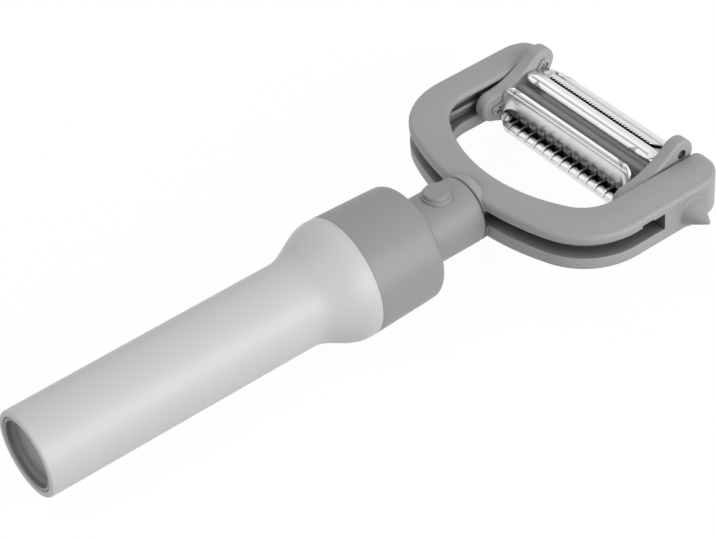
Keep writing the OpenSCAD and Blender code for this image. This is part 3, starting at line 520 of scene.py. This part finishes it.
def plate_ring():
    """The plate's outline as points with their outward normals, in the plane of X and Z."""
    half = math.radians(HALF_PITCH)
    mid, side = PIVOT_R * math.cos(half), PIVOT_R * math.sin(half)
    far = mid + math.sqrt((HOLLOW_R + LOBE_R) ** 2 - side ** 2)
    lean = math.degrees(math.atan2(side, far - mid))
    wrap = HALF_PITCH + lean
    ring = []
    for angle in BLADE_ANGLES:
        lobe = (PIVOT_R * math.cos(math.radians(angle)), PIVOT_R * math.sin(math.radians(angle)))
        for k in range(LOBE_STEPS + 1):
            a = math.radians(angle + wrap - 2 * wrap * k / LOBE_STEPS)
            n = (math.cos(a), math.sin(a))
            ring.append(((lobe[0] + LOBE_R * n[0], lobe[1] + LOBE_R * n[1]), n))
        web = angle - HALF_PITCH
        centre = (far * math.cos(math.radians(web)), far * math.sin(math.radians(web)))
        for k in range(1, WEB_STEPS):
            a = math.radians(web + 180 - lean + 2 * lean * k / WEB_STEPS)
            n = (-math.cos(a), -math.sin(a))
            ring.append(((centre[0] - HOLLOW_R * n[0], centre[1] - HOLLOW_R * n[1]), n))
    return ring


def rounded_slab(ring, y0, y1, soft, steps=5):
    """A slab between two planes with the ring as its outline and rounded edges."""
    layers = []
    for k in range(steps + 1):
        a = math.radians(90 * k / steps)
        layers.append((soft * (1 - math.sin(a)), y0 + soft * (1 - math.cos(a))))
    layers += [(inset, y0 + y1 - y) for inset, y in reversed(layers)]
    spots = []
    for inset, y in layers:
        spots += [(p[0] - n[0] * inset + AXLE_X, y, p[1] - n[1] * inset) for p, n in ring]
    return spots, bands(len(layers), len(ring))


def bare_tree(name, numbers, counts):
    """A Geometry Nodes tree with named inputs, and the node that gives them."""
    tree = bpy.data.node_groups.new(name, "GeometryNodeTree")
    tree.interface.new_socket("Geometry", in_out="OUTPUT", socket_type="NodeSocketGeometry")
    kinds = {"Geometry": ["Geometry"], "Float": numbers, "Int": counts, "Material": ["Material"]}
    for kind, names in kinds.items():
        for socket in names:
            tree.interface.new_socket(socket, in_out="INPUT", socket_type=f"NodeSocket{kind}")
    return tree, tree.nodes.new("NodeGroupInput")


def copies_at(tree, count, place, shape):
    """Real copies of a shape at places that follow from each copy's index."""
    line = tree.nodes.new("GeometryNodeMeshLine")
    move = tree.nodes.new("GeometryNodeSetPosition")
    copies = tree.nodes.new("GeometryNodeInstanceOnPoints")
    real = tree.nodes.new("GeometryNodeRealizeInstances")
    link = tree.links.new
    link(count, line.inputs["Count"])
    link(line.outputs["Mesh"], move.inputs["Geometry"])
    link(place, move.inputs["Position"])
    link(move.outputs["Geometry"], copies.inputs["Points"])
    link(shape, copies.inputs["Instance"])
    link(copies.outputs["Instances"], real.inputs["Geometry"])
    return real.outputs["Geometry"]


def ended(tree, start, body):
    """Ends a tree with Realize Instances and Set Material."""
    real = tree.nodes.new("GeometryNodeRealizeInstances")
    coat = tree.nodes.new("GeometryNodeSetMaterial")
    end = tree.nodes.new("NodeGroupOutput")
    link = tree.links.new
    link(body, real.inputs["Geometry"])
    link(real.outputs["Geometry"], coat.inputs["Geometry"])
    link(start.outputs["Material"], coat.inputs["Material"])
    link(coat.outputs["Geometry"], end.inputs["Geometry"])
    return tree


def drill_tree():
    """Geometry Nodes: drills the same sunk bore at equal steps round the carriage's axis."""
    numbers = ["Pivot Radius", "First Angle", "Bore Radius", "Sink Radius", "Sink Depth", "Axis X", "Mouth Y"]
    tree, start = bare_tree("sunk pin bores", numbers, ["Bores"])
    given, link = start.outputs, tree.links.new
    body = given["Geometry"]
    for radius, lengths in (("Bore Radius", 12), ("Sink Radius", 2)):
        tool = add(tree, "GeometryNodeMeshCylinder", Vertices=48)
        link(given[radius], tool.inputs["Radius"])
        link(maths(tree, "MULTIPLY", given["Sink Depth"], lengths), tool.inputs["Depth"])
        lie = add(tree, "GeometryNodeTransform", Rotation=(math.pi / 2, 0, 0))
        link(tool.outputs["Mesh"], lie.inputs["Geometry"])
        index = tree.nodes.new("GeometryNodeInputIndex")
        step = maths(tree, "DIVIDE", maths(tree, "MULTIPLY", index.outputs[0], 2 * math.pi), given["Bores"])
        turn = maths(tree, "SUBTRACT", given["First Angle"], step)
        across = maths(tree, "MULTIPLY", given["Pivot Radius"], maths(tree, "COSINE", turn))
        up = maths(tree, "MULTIPLY", given["Pivot Radius"], maths(tree, "SINE", turn))
        place = tree.nodes.new("ShaderNodeCombineXYZ")
        link(maths(tree, "ADD", given["Axis X"], across), place.inputs[0])
        link(given["Mouth Y"], place.inputs[1])
        link(up, place.inputs[2])
        cut = tree.nodes.new("GeometryNodeMeshBoolean")
        cut.operation, cut.solver = "DIFFERENCE", "EXACT"
        link(body, cut.inputs["Mesh 1"])
        link(copies_at(tree, given["Bores"], place.outputs[0], lie.outputs["Geometry"]), cut.inputs["Mesh 2"])
        body = cut.outputs["Mesh"]
    return ended(tree, start, body)


def grown(piece, tree, **sizes):
    """Runs a tree on a piece with the named inputs and keeps the result as a plain mesh."""
    step = piece.modifiers.new(tree.name, "NODES")
    step.node_group = tree
    for item in tree.interface.items_tree:
        name = item.name.lower().replace(" ", "_")
        if item.item_type == "SOCKET" and item.in_out == "INPUT" and name in sizes:
            step[item.identifier] = sizes[name]
    settled(piece)


EDGE_SOFT, BORE_R, SINK_R, SINK_DEPTH = 0.75, 0.96, 1.35, 1.1
TRACK_DEPTH, TRACK_IN_R, TRACK_OUT_R = 0.3, 5.65, 7.15
ROOT_DEPTH, TRUNNION_SOFT, HEAD_ROOM_R, HEAD_ROOM = 0.6, 0.3, 2.05, 1.6
sunk_bores = drill_tree()
for name, side in (("left", 1), ("right", -1)):
    y0, y1 = sorted((side * PLATE_IN, side * PLATE_OUT))
    plate = solid(f"{name}_plate_blank", *rounded_slab(plate_ring(), y0, y1, EDGE_SOFT), head_grey_painted_lighter)
    grown(plate, sunk_bores, pivot_radius=PIVOT_R * MM, first_angle=math.radians(BLADE_ANGLES[0]),
          bore_radius=BORE_R * MM, sink_radius=SINK_R * MM, sink_depth=SINK_DEPTH * MM,
          axis_x=AXLE_X * MM, mouth_y=side * PLATE_OUT * MM, bores=3, material=head_grey_painted_lighter)
    if side > 0:
        track = [(PLATE_OUT - TRACK_DEPTH, TRACK_IN_R), (PLATE_OUT - TRACK_DEPTH, TRACK_OUT_R)]
        track += [(PLATE_OUT + 1, TRACK_OUT_R), (PLATE_OUT + 1, TRACK_IN_R)]
        cut_away(plate, solid("track", *turned_mesh(track, 96, "Y", (AXLE_X, 0, 0)), head_grey_painted_lighter))
    trunnion = [(PLATE_OUT - ROOT_DEPTH, 0), (PLATE_OUT - ROOT_DEPTH, TRUNNION_R)]
    trunnion += arc(TRUNNION_END - TRUNNION_SOFT, TRUNNION_R - TRUNNION_SOFT, TRUNNION_SOFT, 90, 0, 4)
    trunnion += [(TRUNNION_END, HEAD_ROOM_R), (TRUNNION_END - HEAD_ROOM, HEAD_ROOM_R)]
    trunnion += [(TRUNNION_END - HEAD_ROOM, 0)]
    outline = [(side * y, r) for y, r in trunnion]
    shaft = solid("trunnion", *turned_mesh(outline, 72, "Y", (AXLE_X, 0, 0)), head_grey_painted_lighter)
    plate = joined(f"{name}_end_plate_skin", plate, shaft)
    belongs(plate, "carriage", "grey_plastic", f"{name}_end_plate")


# The carriage's beam: the bar between the plates that keeps them apart. It is moulded in
# a darker grey plastic as a hub with three ribs, one between each pair of blades, and the
# ribs run into the hub with soft hollows.
HUB_R, RIB_REACH, RIB_HALF, BEAM_END, BLEND = 3.4, 6.2, 1.5, 24.95, 1.6
BEAM_STEPS = 240


def beam_depth(x, z):
    """Distance to the beam's surface, below zero inside, with softened inner corners."""
    nearest = math.hypot(x, z) - HUB_R
    for angle in BLADE_ANGLES:
        a = math.radians(angle + HALF_PITCH)
        along = x * math.cos(a) + z * math.sin(a)
        across = abs(-x * math.sin(a) + z * math.cos(a))
        over = max(along - (RIB_REACH - RIB_HALF), 0)
        rib = math.hypot(over, across) - RIB_HALF if along > 0 else math.hypot(x, z) - RIB_HALF
        h = max(BLEND - abs(nearest - rib), 0) / BLEND
        nearest = min(nearest, rib) - h * h * BLEND / 4
    return nearest


# Halving finds the surface along each of the rays from the axis.
beam_ring = []
for k in range(BEAM_STEPS):
    a = 2 * math.pi * k / BEAM_STEPS
    low, high = 1.0, 9.0
    for _ in range(30):
        middle = (low + high) / 2
        if beam_depth(middle * math.cos(a), middle * math.sin(a)) < 0:
            low = middle
        else:
            high = middle
    beam_ring.append((low * math.cos(a), low * math.sin(a)))
with_normals = []
for k, p in enumerate(beam_ring):
    before, after = beam_ring[k - 1], beam_ring[(k + 1) % BEAM_STEPS]
    along = Vector((after[0] - before[0], after[1] - before[1])).normalized()
    with_normals.append((p, (along.y, -along.x)))
beam_grey = paint("beam grey plastic", [0.32] * 3, shade=1.0, roughness=0.4, grain=5200, depth=5e-6)
beam = solid("carriage_beam_skin", *rounded_slab(with_normals, -BEAM_END, BEAM_END, 0.25, 3), beam_grey)
belongs(beam, "carriage", "dark_grey_plastic", "carriage_beam")


# The julienne blade: a strip of polished stainless steel, pressed to a curve, with round
# corners and a folded ear at each end. Above the slot its face dips inwards, below it the
# edge is pressed out as a lip, and thin fins run in from the lip and cut the strips.
def steel(name, colour, roughness, polish, reach=0.003, power=1.5):
    """Polished steel with faint polishing lines along the blade and painted shade in its hollows."""
    material = bpy.data.materials.new(name)
    material.use_nodes = True
    tree = material.node_tree
    shader = tree.nodes["Principled BSDF"]
    shader.inputs["Metallic"].default_value = 1
    place = tree.nodes.new("ShaderNodeTexCoord")
    lines = add(tree, "ShaderNodeMapping", Scale=(6000, 120, 6000))
    fine = add(tree, "ShaderNodeTexNoise", Scale=1, Detail=4)
    smear = add(tree, "ShaderNodeTexNoise", Scale=220, Detail=2)
    tint = tree.nodes.new("ShaderNodeMix")
    tint.data_type = "RGBA"
    tint.inputs["A"].default_value = [*[c * 0.94 for c in colour], 1]
    tint.inputs["B"].default_value = [*colour, 1]
    gloss = add(tree, "ShaderNodeMapRange", To_Min=roughness * 0.7, To_Max=roughness * 1.4)
    scratch = add(tree, "ShaderNodeBump", Strength=polish, Distance=0.00001)
    link = tree.links.new
    link(place.outputs["Object"], lines.inputs["Vector"])
    link(lines.outputs["Vector"], fine.inputs["Vector"])
    link(place.outputs["Object"], smear.inputs["Vector"])
    link(smear.outputs["Fac"], tint.inputs["Factor"])
    # The base colour carries painted shade, darkened in the steel's grooves and hollows.
    link(painted_hollow_shade(tree, tint.outputs["Result"], reach, 0.02, power), shader.inputs["Base Color"])
    link(smear.outputs["Fac"], gloss.inputs["Value"])
    link(gloss.outputs["Result"], shader.inputs["Roughness"])
    link(fine.outputs["Fac"], scratch.inputs["Height"])
    link(scratch.outputs["Normal"], shader.inputs["Normal"])
    return material


# Its reach and power make the painted shade reach further and fall deeper in the blade's dish, slot and
# holes.
blade_steel = steel("polished blade steel", [0.80] * 3, roughness=0.3, polish=0.12, reach=0.004, power=1.8)
BLADE_HALF, BLADE_END, CORNER_R, STEEL_T = 7.0, 24.7, 3.2, 0.8
CROWN_DROP, BEND_R, RIM_R = 1.7, 21.0, 0.28


def blade_matrix(angle, swing):
    """From a blade's own frame (x across it, y outwards, z to the left) to the object's."""
    a = math.radians(angle)
    pivot = Vector((AXLE_X + PIVOT_R * math.cos(a), 0, PIVOT_R * math.sin(a))) * MM
    turn = math.radians(angle + swing)
    over = Vector((-math.sin(turn), 0, math.cos(turn)))
    out = Vector((math.cos(turn), 0, math.sin(turn)))
    return Matrix(((over.x, out.x, 0, pivot.x), (0, 0, 1, 0), (over.z, out.z, 0, pivot.z), (0, 0, 0, 1)))


def placed(piece, matrix):
    piece.data.transform(matrix)
    piece.data.update()
    return piece


def ease(x, a, b):
    t = min(max((x - a) / (b - a), 0), 1)
    return t * t * (3 - 2 * t)


def bend(x):
    """The strip's outer face before it is pressed."""
    return math.sqrt(BEND_R ** 2 - x ** 2) - BEND_R - CROWN_DROP


def spread(low, high, fine_at, gap, reach, least=0.03):
    """Places from low to high, close together near the given places."""
    places, x = [low], low
    while x < high - 1e-6:
        near = min([abs(x - f) for f in fine_at] + [abs(x + gap - f) for f in fine_at])
        step = gap if near < reach else gap * 4
        nxt = min(x + step, high)
        if high - nxt < least:
            nxt = high
        for f in fine_at:
            if x + least < f < nxt - least:
                nxt = f
        places.append(nxt)
        x = nxt
    return places


def pressed_strip(name, face, fine_x, fine_z, material, far_corner=CORNER_R):
    """A strip with round corners whose outer face is pressed to the height face(x, z)."""
    xs = spread(-BLADE_HALF, BLADE_HALF, [-BLADE_HALF, BLADE_HALF] + fine_x, 0.12, 0.5)
    ends = [BLADE_END, BLADE_END - far_corner] + fine_z
    zs = spread(-BLADE_END, BLADE_END, [side * z for z in ends for side in (-1, 1)], 0.3, 1.6)

    def edge_z(x):
        inside, corner = BLADE_HALF - abs(x), far_corner if x < 0 else CORNER_R
        if inside >= corner:
            return BLADE_END
        return BLADE_END - corner + math.sqrt(max(corner ** 2 - (corner - inside) ** 2, 0))

    spots, count = [], len(zs)
    for layer in (1, 0):
        for x in xs:
            limit = edge_z(x)
            for z in zs:
                zz = z * limit / BLADE_END if abs(z) > BLADE_END - far_corner - 0.01 else z
                zz = max(-limit, min(limit, zz))
                rim = min(BLADE_HALF - abs(x), limit - abs(zz))
                drop = RIM_R - math.sqrt(max(RIM_R ** 2 - max(RIM_R - rim, 0) ** 2, 0))
                height = face(x, zz)
                spots.append((x, height - drop if layer else height - STEEL_T + drop * 0.6, zz))
    half = len(spots) // 2
    sides = []
    for i in range(len(xs) - 1):
        for j in range(count - 1):
            a, b, c, d = i * count + j, i * count + j + 1, (i + 1) * count + j + 1, (i + 1) * count + j
            sides += [(a, b, c, d), (half + a, half + d, half + c, half + b)]
    last = (len(xs) - 1) * count
    border = list(range(count)) + [i * count + count - 1 for i in range(1, len(xs))]
    border += [last + j for j in range(count - 2, -1, -1)] + [i * count for i in range(len(xs) - 2, 0, -1)]
    for a, b in zip(border, border[1:] + border[:1]):
        sides.append((a, b, half + b, half + a))
    return solid(name, spots, sides, material, 40)


def prism(name, outline, z0, z1, material):
    spots = [(x, y, z) for z in (z0, z1) for x, y in outline]
    return solid(name, spots, bands(2, len(outline)), material, 30)


def ears(material):
    """The folded ears at both ends, each a narrow tongue that is riveted to its pin."""
    outline = arc(0, 0, 1.25, 172, 8, 14) + [(1.5, -1.0), (2.1, -CROWN_DROP - 0.5)]
    outline += [(-2.1, -CROWN_DROP - 0.5), (-1.5, -1.0)]
    ends = [(side * (BLADE_END - STEEL_T), side * BLADE_END) for side in (-1, 1)]
    return [prism("ear", outline, z0, z1, material) for z0, z1 in ends]


def row_tree():
    """Geometry Nodes: repeats one tooth or one serration along the blade."""
    tree, start = bare_tree("row along a blade", ["Pitch"], ["Count"])
    given, link = start.outputs, tree.links.new
    index = tree.nodes.new("GeometryNodeInputIndex")
    first = maths(tree, "MULTIPLY_ADD", given["Count"], -0.5, 0.5)
    along = maths(tree, "MULTIPLY", maths(tree, "ADD", index.outputs[0], first), given["Pitch"])
    spot = tree.nodes.new("ShaderNodeCombineXYZ")
    link(along, spot.inputs[2])
    weld = add(tree, "GeometryNodeMergeByDistance", Distance=1e-6)
    link(copies_at(tree, given["Count"], spot.outputs[0], given["Geometry"]), weld.inputs["Geometry"])
    return ended(tree, start, weld.outputs["Geometry"])


row = row_tree()
GRATE_LOW, GRATE_HIGH, HOLE_R, HOLE_X, HOLE_Z = 1.3, 3.6, 1.65, 1.15, 22.0
DISH_START, DISH_DEEP, LIP_Y, LIP_TOP, LIP_SINK = -5.1, -4.4, -1.1, 4.5, 1.3
CREASE_X, CREASE_HALF, CREASE_DEEP = -5.8, 0.32, 0.13
FINS, FIN_PITCH, FIN_HALF = 13, 3.43, 0.32
FLANGE_IN, FLANGE_OUT, FOLD_IN = 0.6, 0.05, 0.4


def julienne_face(x, z):
    """The blade's outer face: crease, dish, slot and lip, and plain towards the ends."""
    plain = bend(x)
    if x < GRATE_LOW:
        across = max((x - DISH_START) / (GRATE_LOW - DISH_START), 0)
        pressed = min(plain, bend(DISH_START)) if across > 0 else plain
        pressed += (DISH_DEEP - bend(DISH_START)) * across ** 1.35
    elif x < GRATE_HIGH:
        pressed = DISH_DEEP + (LIP_Y - LIP_SINK - DISH_DEEP) * (x - GRATE_LOW) / (GRATE_HIGH - GRATE_LOW)
    else:
        below = max((LIP_TOP - x) / (LIP_TOP - GRATE_HIGH), 0)
        pressed = LIP_Y - LIP_SINK * below ** 1.6 - 0.75 * ease(x, 3.6, 7.4) - 0.9 * ease(x, 6.0, 7.2)
    crease = CREASE_DEEP * max(1 - abs(x - CREASE_X) / CREASE_HALF, 0)
    reach = BLADE_END - abs(z)
    share = ease(reach, 0.7, 4.2) if x < GRATE_LOW else ease(reach, 0.2, 2.2)
    return plain + (pressed - plain) * share - crease * ease(reach, 0.8, 2.0)


fine_x = [CREASE_X, GRATE_LOW, GRATE_HIGH, LIP_TOP]
strip = pressed_strip("julienne_strip", julienne_face, fine_x, [22.5], blade_steel)
cutters = [block("slot", (GRATE_LOW, -12, -HOLE_Z), (GRATE_HIGH, 6, HOLE_Z), blade_steel)]
for side in (-1, 1):
    drill = turned_mesh([(-12, 0), (-12, HOLE_R), (6, HOLE_R), (6, 0)], 48, "Y")
    move = Matrix.Translation((HOLE_X * MM, 0, side * HOLE_Z * MM))
    cutters.append(placed(solid("relief hole", *drill, blade_steel), move))
cut_away(strip, *cutters)
fin_outline = [
    (4.9, -1.6), (4.8, -1.13), (4.5, -1.0), (4.3, -1.15), (3.2, -2.1), (2.9, -4.5),
    (1.15, -4.3), (1.15, -5.1), (3.6, -5.3), (6.4, -4.2), (6.5, -2.4),
]
fin = prism("julienne_fin", fin_outline, -FIN_HALF, FIN_HALF, blade_steel)
grown(fin, row, count=FINS, pitch=FIN_PITCH * MM, material=blade_steel)
flange_outline = [(-3.6, -2.3), (6.7, -3.1), (6.8, -4.0), (5.5, -4.9), (3.4, -5.4), (-2.6, -4.4)]
flanges = []
for side in (-1, 1):
    z0, z1 = side * (BLADE_END - FLANGE_IN), side * (BLADE_END - FLANGE_OUT)
    flanges.append(prism("end flange", flange_outline, z0, z1, blade_steel))
fold_outline = [(3.3, -5.2), (6.6, -4.0), (6.75, -4.3), (3.45, -5.55)]
flanges.append(prism("back fold", fold_outline, FOLD_IN - BLADE_END, BLADE_END - FOLD_IN, blade_steel))
julienne_place = blade_matrix(BLADE_ANGLES[0], 0)
julienne = placed(joined("julienne_blade_skin", strip, fin, *flanges, *ears(blade_steel)), julienne_place)
belongs(julienne, "julienne", "blade_steel", "julienne_blade")


# The julienne blade's pins: two tubular steel pins that are riveted into the blade's ears
# and turn in the plates' bores. They are turned shapes with a hollow at each end, and the
# other blades have the same ones.
PIN_R, PIN_LOW, PIN_HIGH = 0.9, 23.55, 28.0
pin_steel = steel("dull pin steel", (0.30, 0.30, 0.31), roughness=0.4, polish=0.1)


def pins(name, matrix):
    """Both pins of a blade, put where the blade is."""
    shells = []
    for side in (-1, 1):
        shape = [(PIN_LOW + 1.2, 0), (PIN_LOW + 1.2, 0.5), (PIN_LOW + 0.12, 0.5), (PIN_LOW, 0.62)]
        shape += [(PIN_LOW, PIN_R - 0.1), (PIN_LOW + 0.1, PIN_R), (PIN_HIGH - 0.15, PIN_R)]
        shape += [(PIN_HIGH, PIN_R - 0.15), (PIN_HIGH, 0.58), (PIN_HIGH - 0.1, 0.48)]
        shape += [(PIN_HIGH - 1.5, 0.48), (PIN_HIGH - 1.5, 0)]
        shells.append(solid("pin", *turned_mesh([(side * z, r) for z, r in shape], 40, "Z"), pin_steel))
    belongs(placed(joined(f"{name}_pins_skin", *shells), matrix), name, "blade_steel", f"{name}_pins")


pins("julienne", julienne_place)


# The serrated blade: a pressed strip of the same steel with a rolled band in front and,
# behind it, a raised lip that is ground into fine serrations and runs out to a point at
# each end. A groove parts the lip's root from the far band. Its pins are riveted in too.
SLOT_IN, SLOT_OUT, SLOT_END, FAR_CORNER_R = -2.9, -0.7, 21.2, 4.8
LIP_EDGE, LIP_PLAIN, LIP_POINT, LIP_BACK = 2.4, 19.425, 22.6, -2.4
BAND_X, BAND_HALF, BAND_H = 6.4, 0.75, 0.5
FOLD_X, FOLD_HALF, FOLD_DEEP = 5.55, 0.5, 0.55
CREST_X, CREST_H, GROOVE_DEEP, UNDERCUT = 2.5, 0.42, 1.45, 0.3
SERRATIONS, SERRATION_PITCH, SERRATION_STEPS, BITE, POINT_STEPS = 37, 1.05, 8, 0.95, 6
# Its short reach keeps the painted shade close in the lip's groove and serrations.
lip_steel = steel("ground blade steel", [0.78] * 3, roughness=0.3, polish=0.12, reach=0.0014)


def swivel_face(x, z):
    """The blade's outer face: band, fold, crest and groove, and plain towards the ends."""
    share = ease(BLADE_END - abs(z), 0.8, 2.6)
    band = BAND_H * math.sqrt(max(1 - ((x - BAND_X) / BAND_HALF) ** 2, 0))
    crest = CREST_H * ease(x, 2.35, 2.85) * ease(5.6 - x, 0, 1.8)
    fold = FOLD_DEEP * max(1 - abs(x - FOLD_X) / FOLD_HALF, 0)
    groove = GROOVE_DEEP * ease(x, -3.95, -3.3) * ease(-1.9 - x, 0, 0.9)
    groove += UNDERCUT * ease(CREST_X - x, 0, 0.6) * ease(x, -2.0, -0.8)
    return bend(x) + (band + crest - fold - groove) * share


def lip_section(edge):
    """The lip across the blade, from its cutting edge back to its root and under again."""
    top = [(edge, -1.3), (edge - 0.4, -1.15), (edge - 1.3, -1.08), (0.0, -1.1)]
    top += [(-0.8, -1.32), (-1.6, -1.95), (-2.3, -2.8), (-2.95, -3.45)]
    under = [(-2.95, -3.9), (-2.0, -3.2), (-1.2, -2.3), (0.2, -1.6), (edge - 0.6, -1.45)]
    front = edge - 0.15
    return [(min(x, front if 0 < k < 7 or k > 10 else x), y) for k, (x, y) in enumerate(top + under)]


def swivel_blade(name, angle, swing, serrated):
    """A swivel blade: the strip with its slot, the lip with its two points, the ears and the pins."""
    fine_x = [CREST_X, FOLD_X, BAND_X, -3.7, -2.4]
    strip = pressed_strip(f"{name}_strip", swivel_face, fine_x, [SLOT_END], lip_steel, FAR_CORNER_R)
    cut_away(strip, block("slot", (SLOT_IN, -12, -SLOT_END), (SLOT_OUT, 6, SLOT_END), lip_steel))
    count = len(lip_section(LIP_EDGE))
    spots = []
    for k in range(SERRATION_STEPS + 1):
        bite = BITE * abs(math.sin(math.pi * k / SERRATION_STEPS)) ** 1.5 if serrated else 0
        z = SERRATION_PITCH * (k / SERRATION_STEPS - 0.5)
        spots += [(x, y, z) for x, y in lip_section(LIP_EDGE - bite)]
    lip = solid(f"{name}_lip", spots, bands(SERRATION_STEPS + 1, count, False), lip_steel, 30)
    grown(lip, row, count=SERRATIONS, pitch=SERRATION_PITCH * MM, material=lip_steel)
    work = bmesh.new()
    work.from_mesh(lip.data)
    bmesh.ops.holes_fill(work, edges=[e for e in work.edges if e.is_boundary], sides=0)
    bmesh.ops.recalc_face_normals(work, faces=work.faces)
    work.to_mesh(lip.data)
    work.free()
    points = []
    for side in (-1, 1):
        spots = []
        for k in range(POINT_STEPS + 1):
            share = k / POINT_STEPS
            front = LIP_EDGE - (LIP_EDGE - LIP_BACK) * share
            z = side * (LIP_PLAIN + (LIP_POINT - LIP_PLAIN) * share)
            for x, y in lip_section(LIP_EDGE):
                kept_x = min(x, front + 0.12 * (x - LIP_EDGE)) if x > -3.2 else x
                spots.append((kept_x, y - 0.25 * share * ease(x, -3.4, 0), z))
        points.append(solid("lip point", spots, bands(POINT_STEPS + 1, count), lip_steel, 30))
    place = blade_matrix(angle, swing)
    blade = placed(joined(f"{name}_blade_skin", strip, lip, *points, *ears(lip_steel)), place)
    belongs(blade, name, "blade_steel", f"{name}_blade")
    pins(name, place)


swivel_blade("serrated", BLADE_ANGLES[1], swing=17, serrated=True)


# The straight blade: the same strip with a plain lip, for firm skins. It faces away from
# the camera until the carriage is turned, and swivels as the others do.
swivel_blade("straight", BLADE_ANGLES[2], swing=0, serrated=False)


# The parts that keep their solids: the neck, the bearings, the core, the lock and the
# fasteners. They are moulded, turned or wound, and all but the neck sit inside the handle,
# the yoke's arms or the plates.
acetal = paint("natural acetal", (0.72, 0.70, 0.64), shade=1.03, roughness=0.35, grain=4000, depth=4e-6)
dark = paint("dark grey plastic", [0.12] * 3, shade=1.1, roughness=0.45, grain=5200, depth=6e-6)
rubber = paint("black rubber", [0.03] * 3, shade=1.2, roughness=0.75, grain=3000, depth=2e-5)
plated = steel("zinc plated steel", (0.58, 0.58, 0.57), roughness=0.3, polish=0.25)
for names, material in (
    (("neck",), grey),
    (("rear_bush", "front_bush"), acetal),
    (("handle_core", "lock_slider"), dark),
    (("friction_pad",), rubber),
    (("core_screws", "button_spring", "stem_washer", "stem_screw"), plated),
    (("detent_ball", "detent_spring", "carriage_screws"), plated),
):
    for name in names:
        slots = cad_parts[name].data.materials
        slots.clear()
        slots.append(material)


# The stage: a pale floor that keeps a soft shadow, a white surround, three soft lamps and
# the camera at the photograph's place.
low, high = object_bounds()
floor_mesh = bpy.data.meshes.new("floor")
floor_mesh.from_pydata([(-3, -3, low.z), (3, -3, low.z), (3, 3, low.z), (-3, 3, low.z)], [], [(0, 1, 2, 3)])
floor = linked("floor", floor_mesh)


def emptied(holder):
    """The holder's node tree without nodes, and a Light Path node in it."""
    holder.use_nodes = True
    holder.node_tree.nodes.clear()
    return holder.node_tree, holder.node_tree.nodes.new("ShaderNodeLightPath").outputs


def mixed(tree, share, first, second):
    """A Mix Shader node between two shaders."""
    mix = tree.nodes.new("ShaderNodeMixShader")
    tree.links.new(share, mix.inputs["Fac"])
    tree.links.new(first.outputs[0], mix.inputs[1])
    tree.links.new(second.outputs[0], mix.inputs[2])
    return mix


sheet = bpy.data.materials.new("pale floor")
tree, seen = emptied(sheet)
matte = add(tree, "ShaderNodeBsdfDiffuse", Color=(0.42, 0.42, 0.42, 1))
glow = add(tree, "ShaderNodeEmission", Color=(1, 1, 1, 1), Strength=1.16)
mirrored_share = maths(tree, "MULTIPLY", seen["Is Glossy Ray"], 0.8)
seen_share = maths(tree, "MULTIPLY", seen["Is Camera Ray"], 0.82)
mix = mixed(tree, maths(tree, "MAXIMUM", seen_share, mirrored_share), matte, glow)
out = tree.nodes.new("ShaderNodeOutputMaterial")
tree.links.new(mix.outputs[0], out.inputs["Surface"])
floor_mesh.materials.append(sheet)

world = bpy.data.worlds.new("white surround")
bpy.context.scene.world = world
tree, seen = emptied(world)
heading = tree.nodes.new("ShaderNodeTexCoord")
parts = tree.nodes.new("ShaderNodeSeparateXYZ")
rise = add(tree, "ShaderNodeMapRange", From_Min=-0.3, From_Max=0.1, To_Min=0.7, To_Max=1.0)
fill = add(tree, "ShaderNodeBackground", Color=(1, 1, 1, 1), Strength=0.36)
mirrored, white_sky = [add(tree, "ShaderNodeBackground", Color=(1, 1, 1, 1), Strength=1) for _ in range(2)]
out = tree.nodes.new("ShaderNodeOutputWorld")
tree.links.new(heading.outputs["Generated"], parts.inputs[0])
tree.links.new(parts.outputs[2], rise.inputs["Value"])
tree.links.new(rise.outputs["Result"], mirrored.inputs["Strength"])
either = maths(tree, "MAXIMUM", seen["Is Camera Ray"], seen["Is Transmission Ray"])
mix = mixed(tree, either, mixed(tree, seen["Is Glossy Ray"], fill, mirrored), white_sky)
tree.links.new(mix.outputs[0], out.inputs["Surface"])


MIDDLE = Vector((0.1, 0, 0))


def lamp(name, place, power, width):
    """A square lamp that points at the object's middle."""
    data = bpy.data.lights.new(name, "AREA")
    data.shape, data.size, data.energy = "SQUARE", width, power
    light = linked(name, data)
    light.location = place
    light.rotation_euler = (MIDDLE - light.location).to_track_quat("-Z", "Y").to_euler()


lamp("front right", (0.4, -1.25, 0.3), 17.0, 1.4)
lamp("left above", (-0.9, 0.1, 1.0), 3.0, 1.2)
lamp("behind", (0.3, 1.2, 0.9), 2.5, 1.0)

FOCAL_PIXELS, PHOTO_WIDTH, SENSOR = 2400, 716, 36
camera_data = bpy.data.cameras.new("camera")
camera_data.sensor_width = SENSOR
camera_data.lens = FOCAL_PIXELS / PHOTO_WIDTH * SENSOR
camera_data.clip_start, camera_data.clip_end = 0.01, 20
camera = linked("camera", camera_data)
bpy.context.scene.camera = camera
right = Vector((0.7902, -0.609, -0.0692)).normalized()
back = Vector((-0.4221, -0.6226, 0.659))
back = (back - right * back.dot(right)).normalized()
place = Vector((-0.15823, -0.37463, 0.39598))
camera.matrix_world = Matrix((*zip(right, back.cross(right), back, place), (0, 0, 0, 1)))
bpy.context.scene.view_settings.view_transform = "Standard"
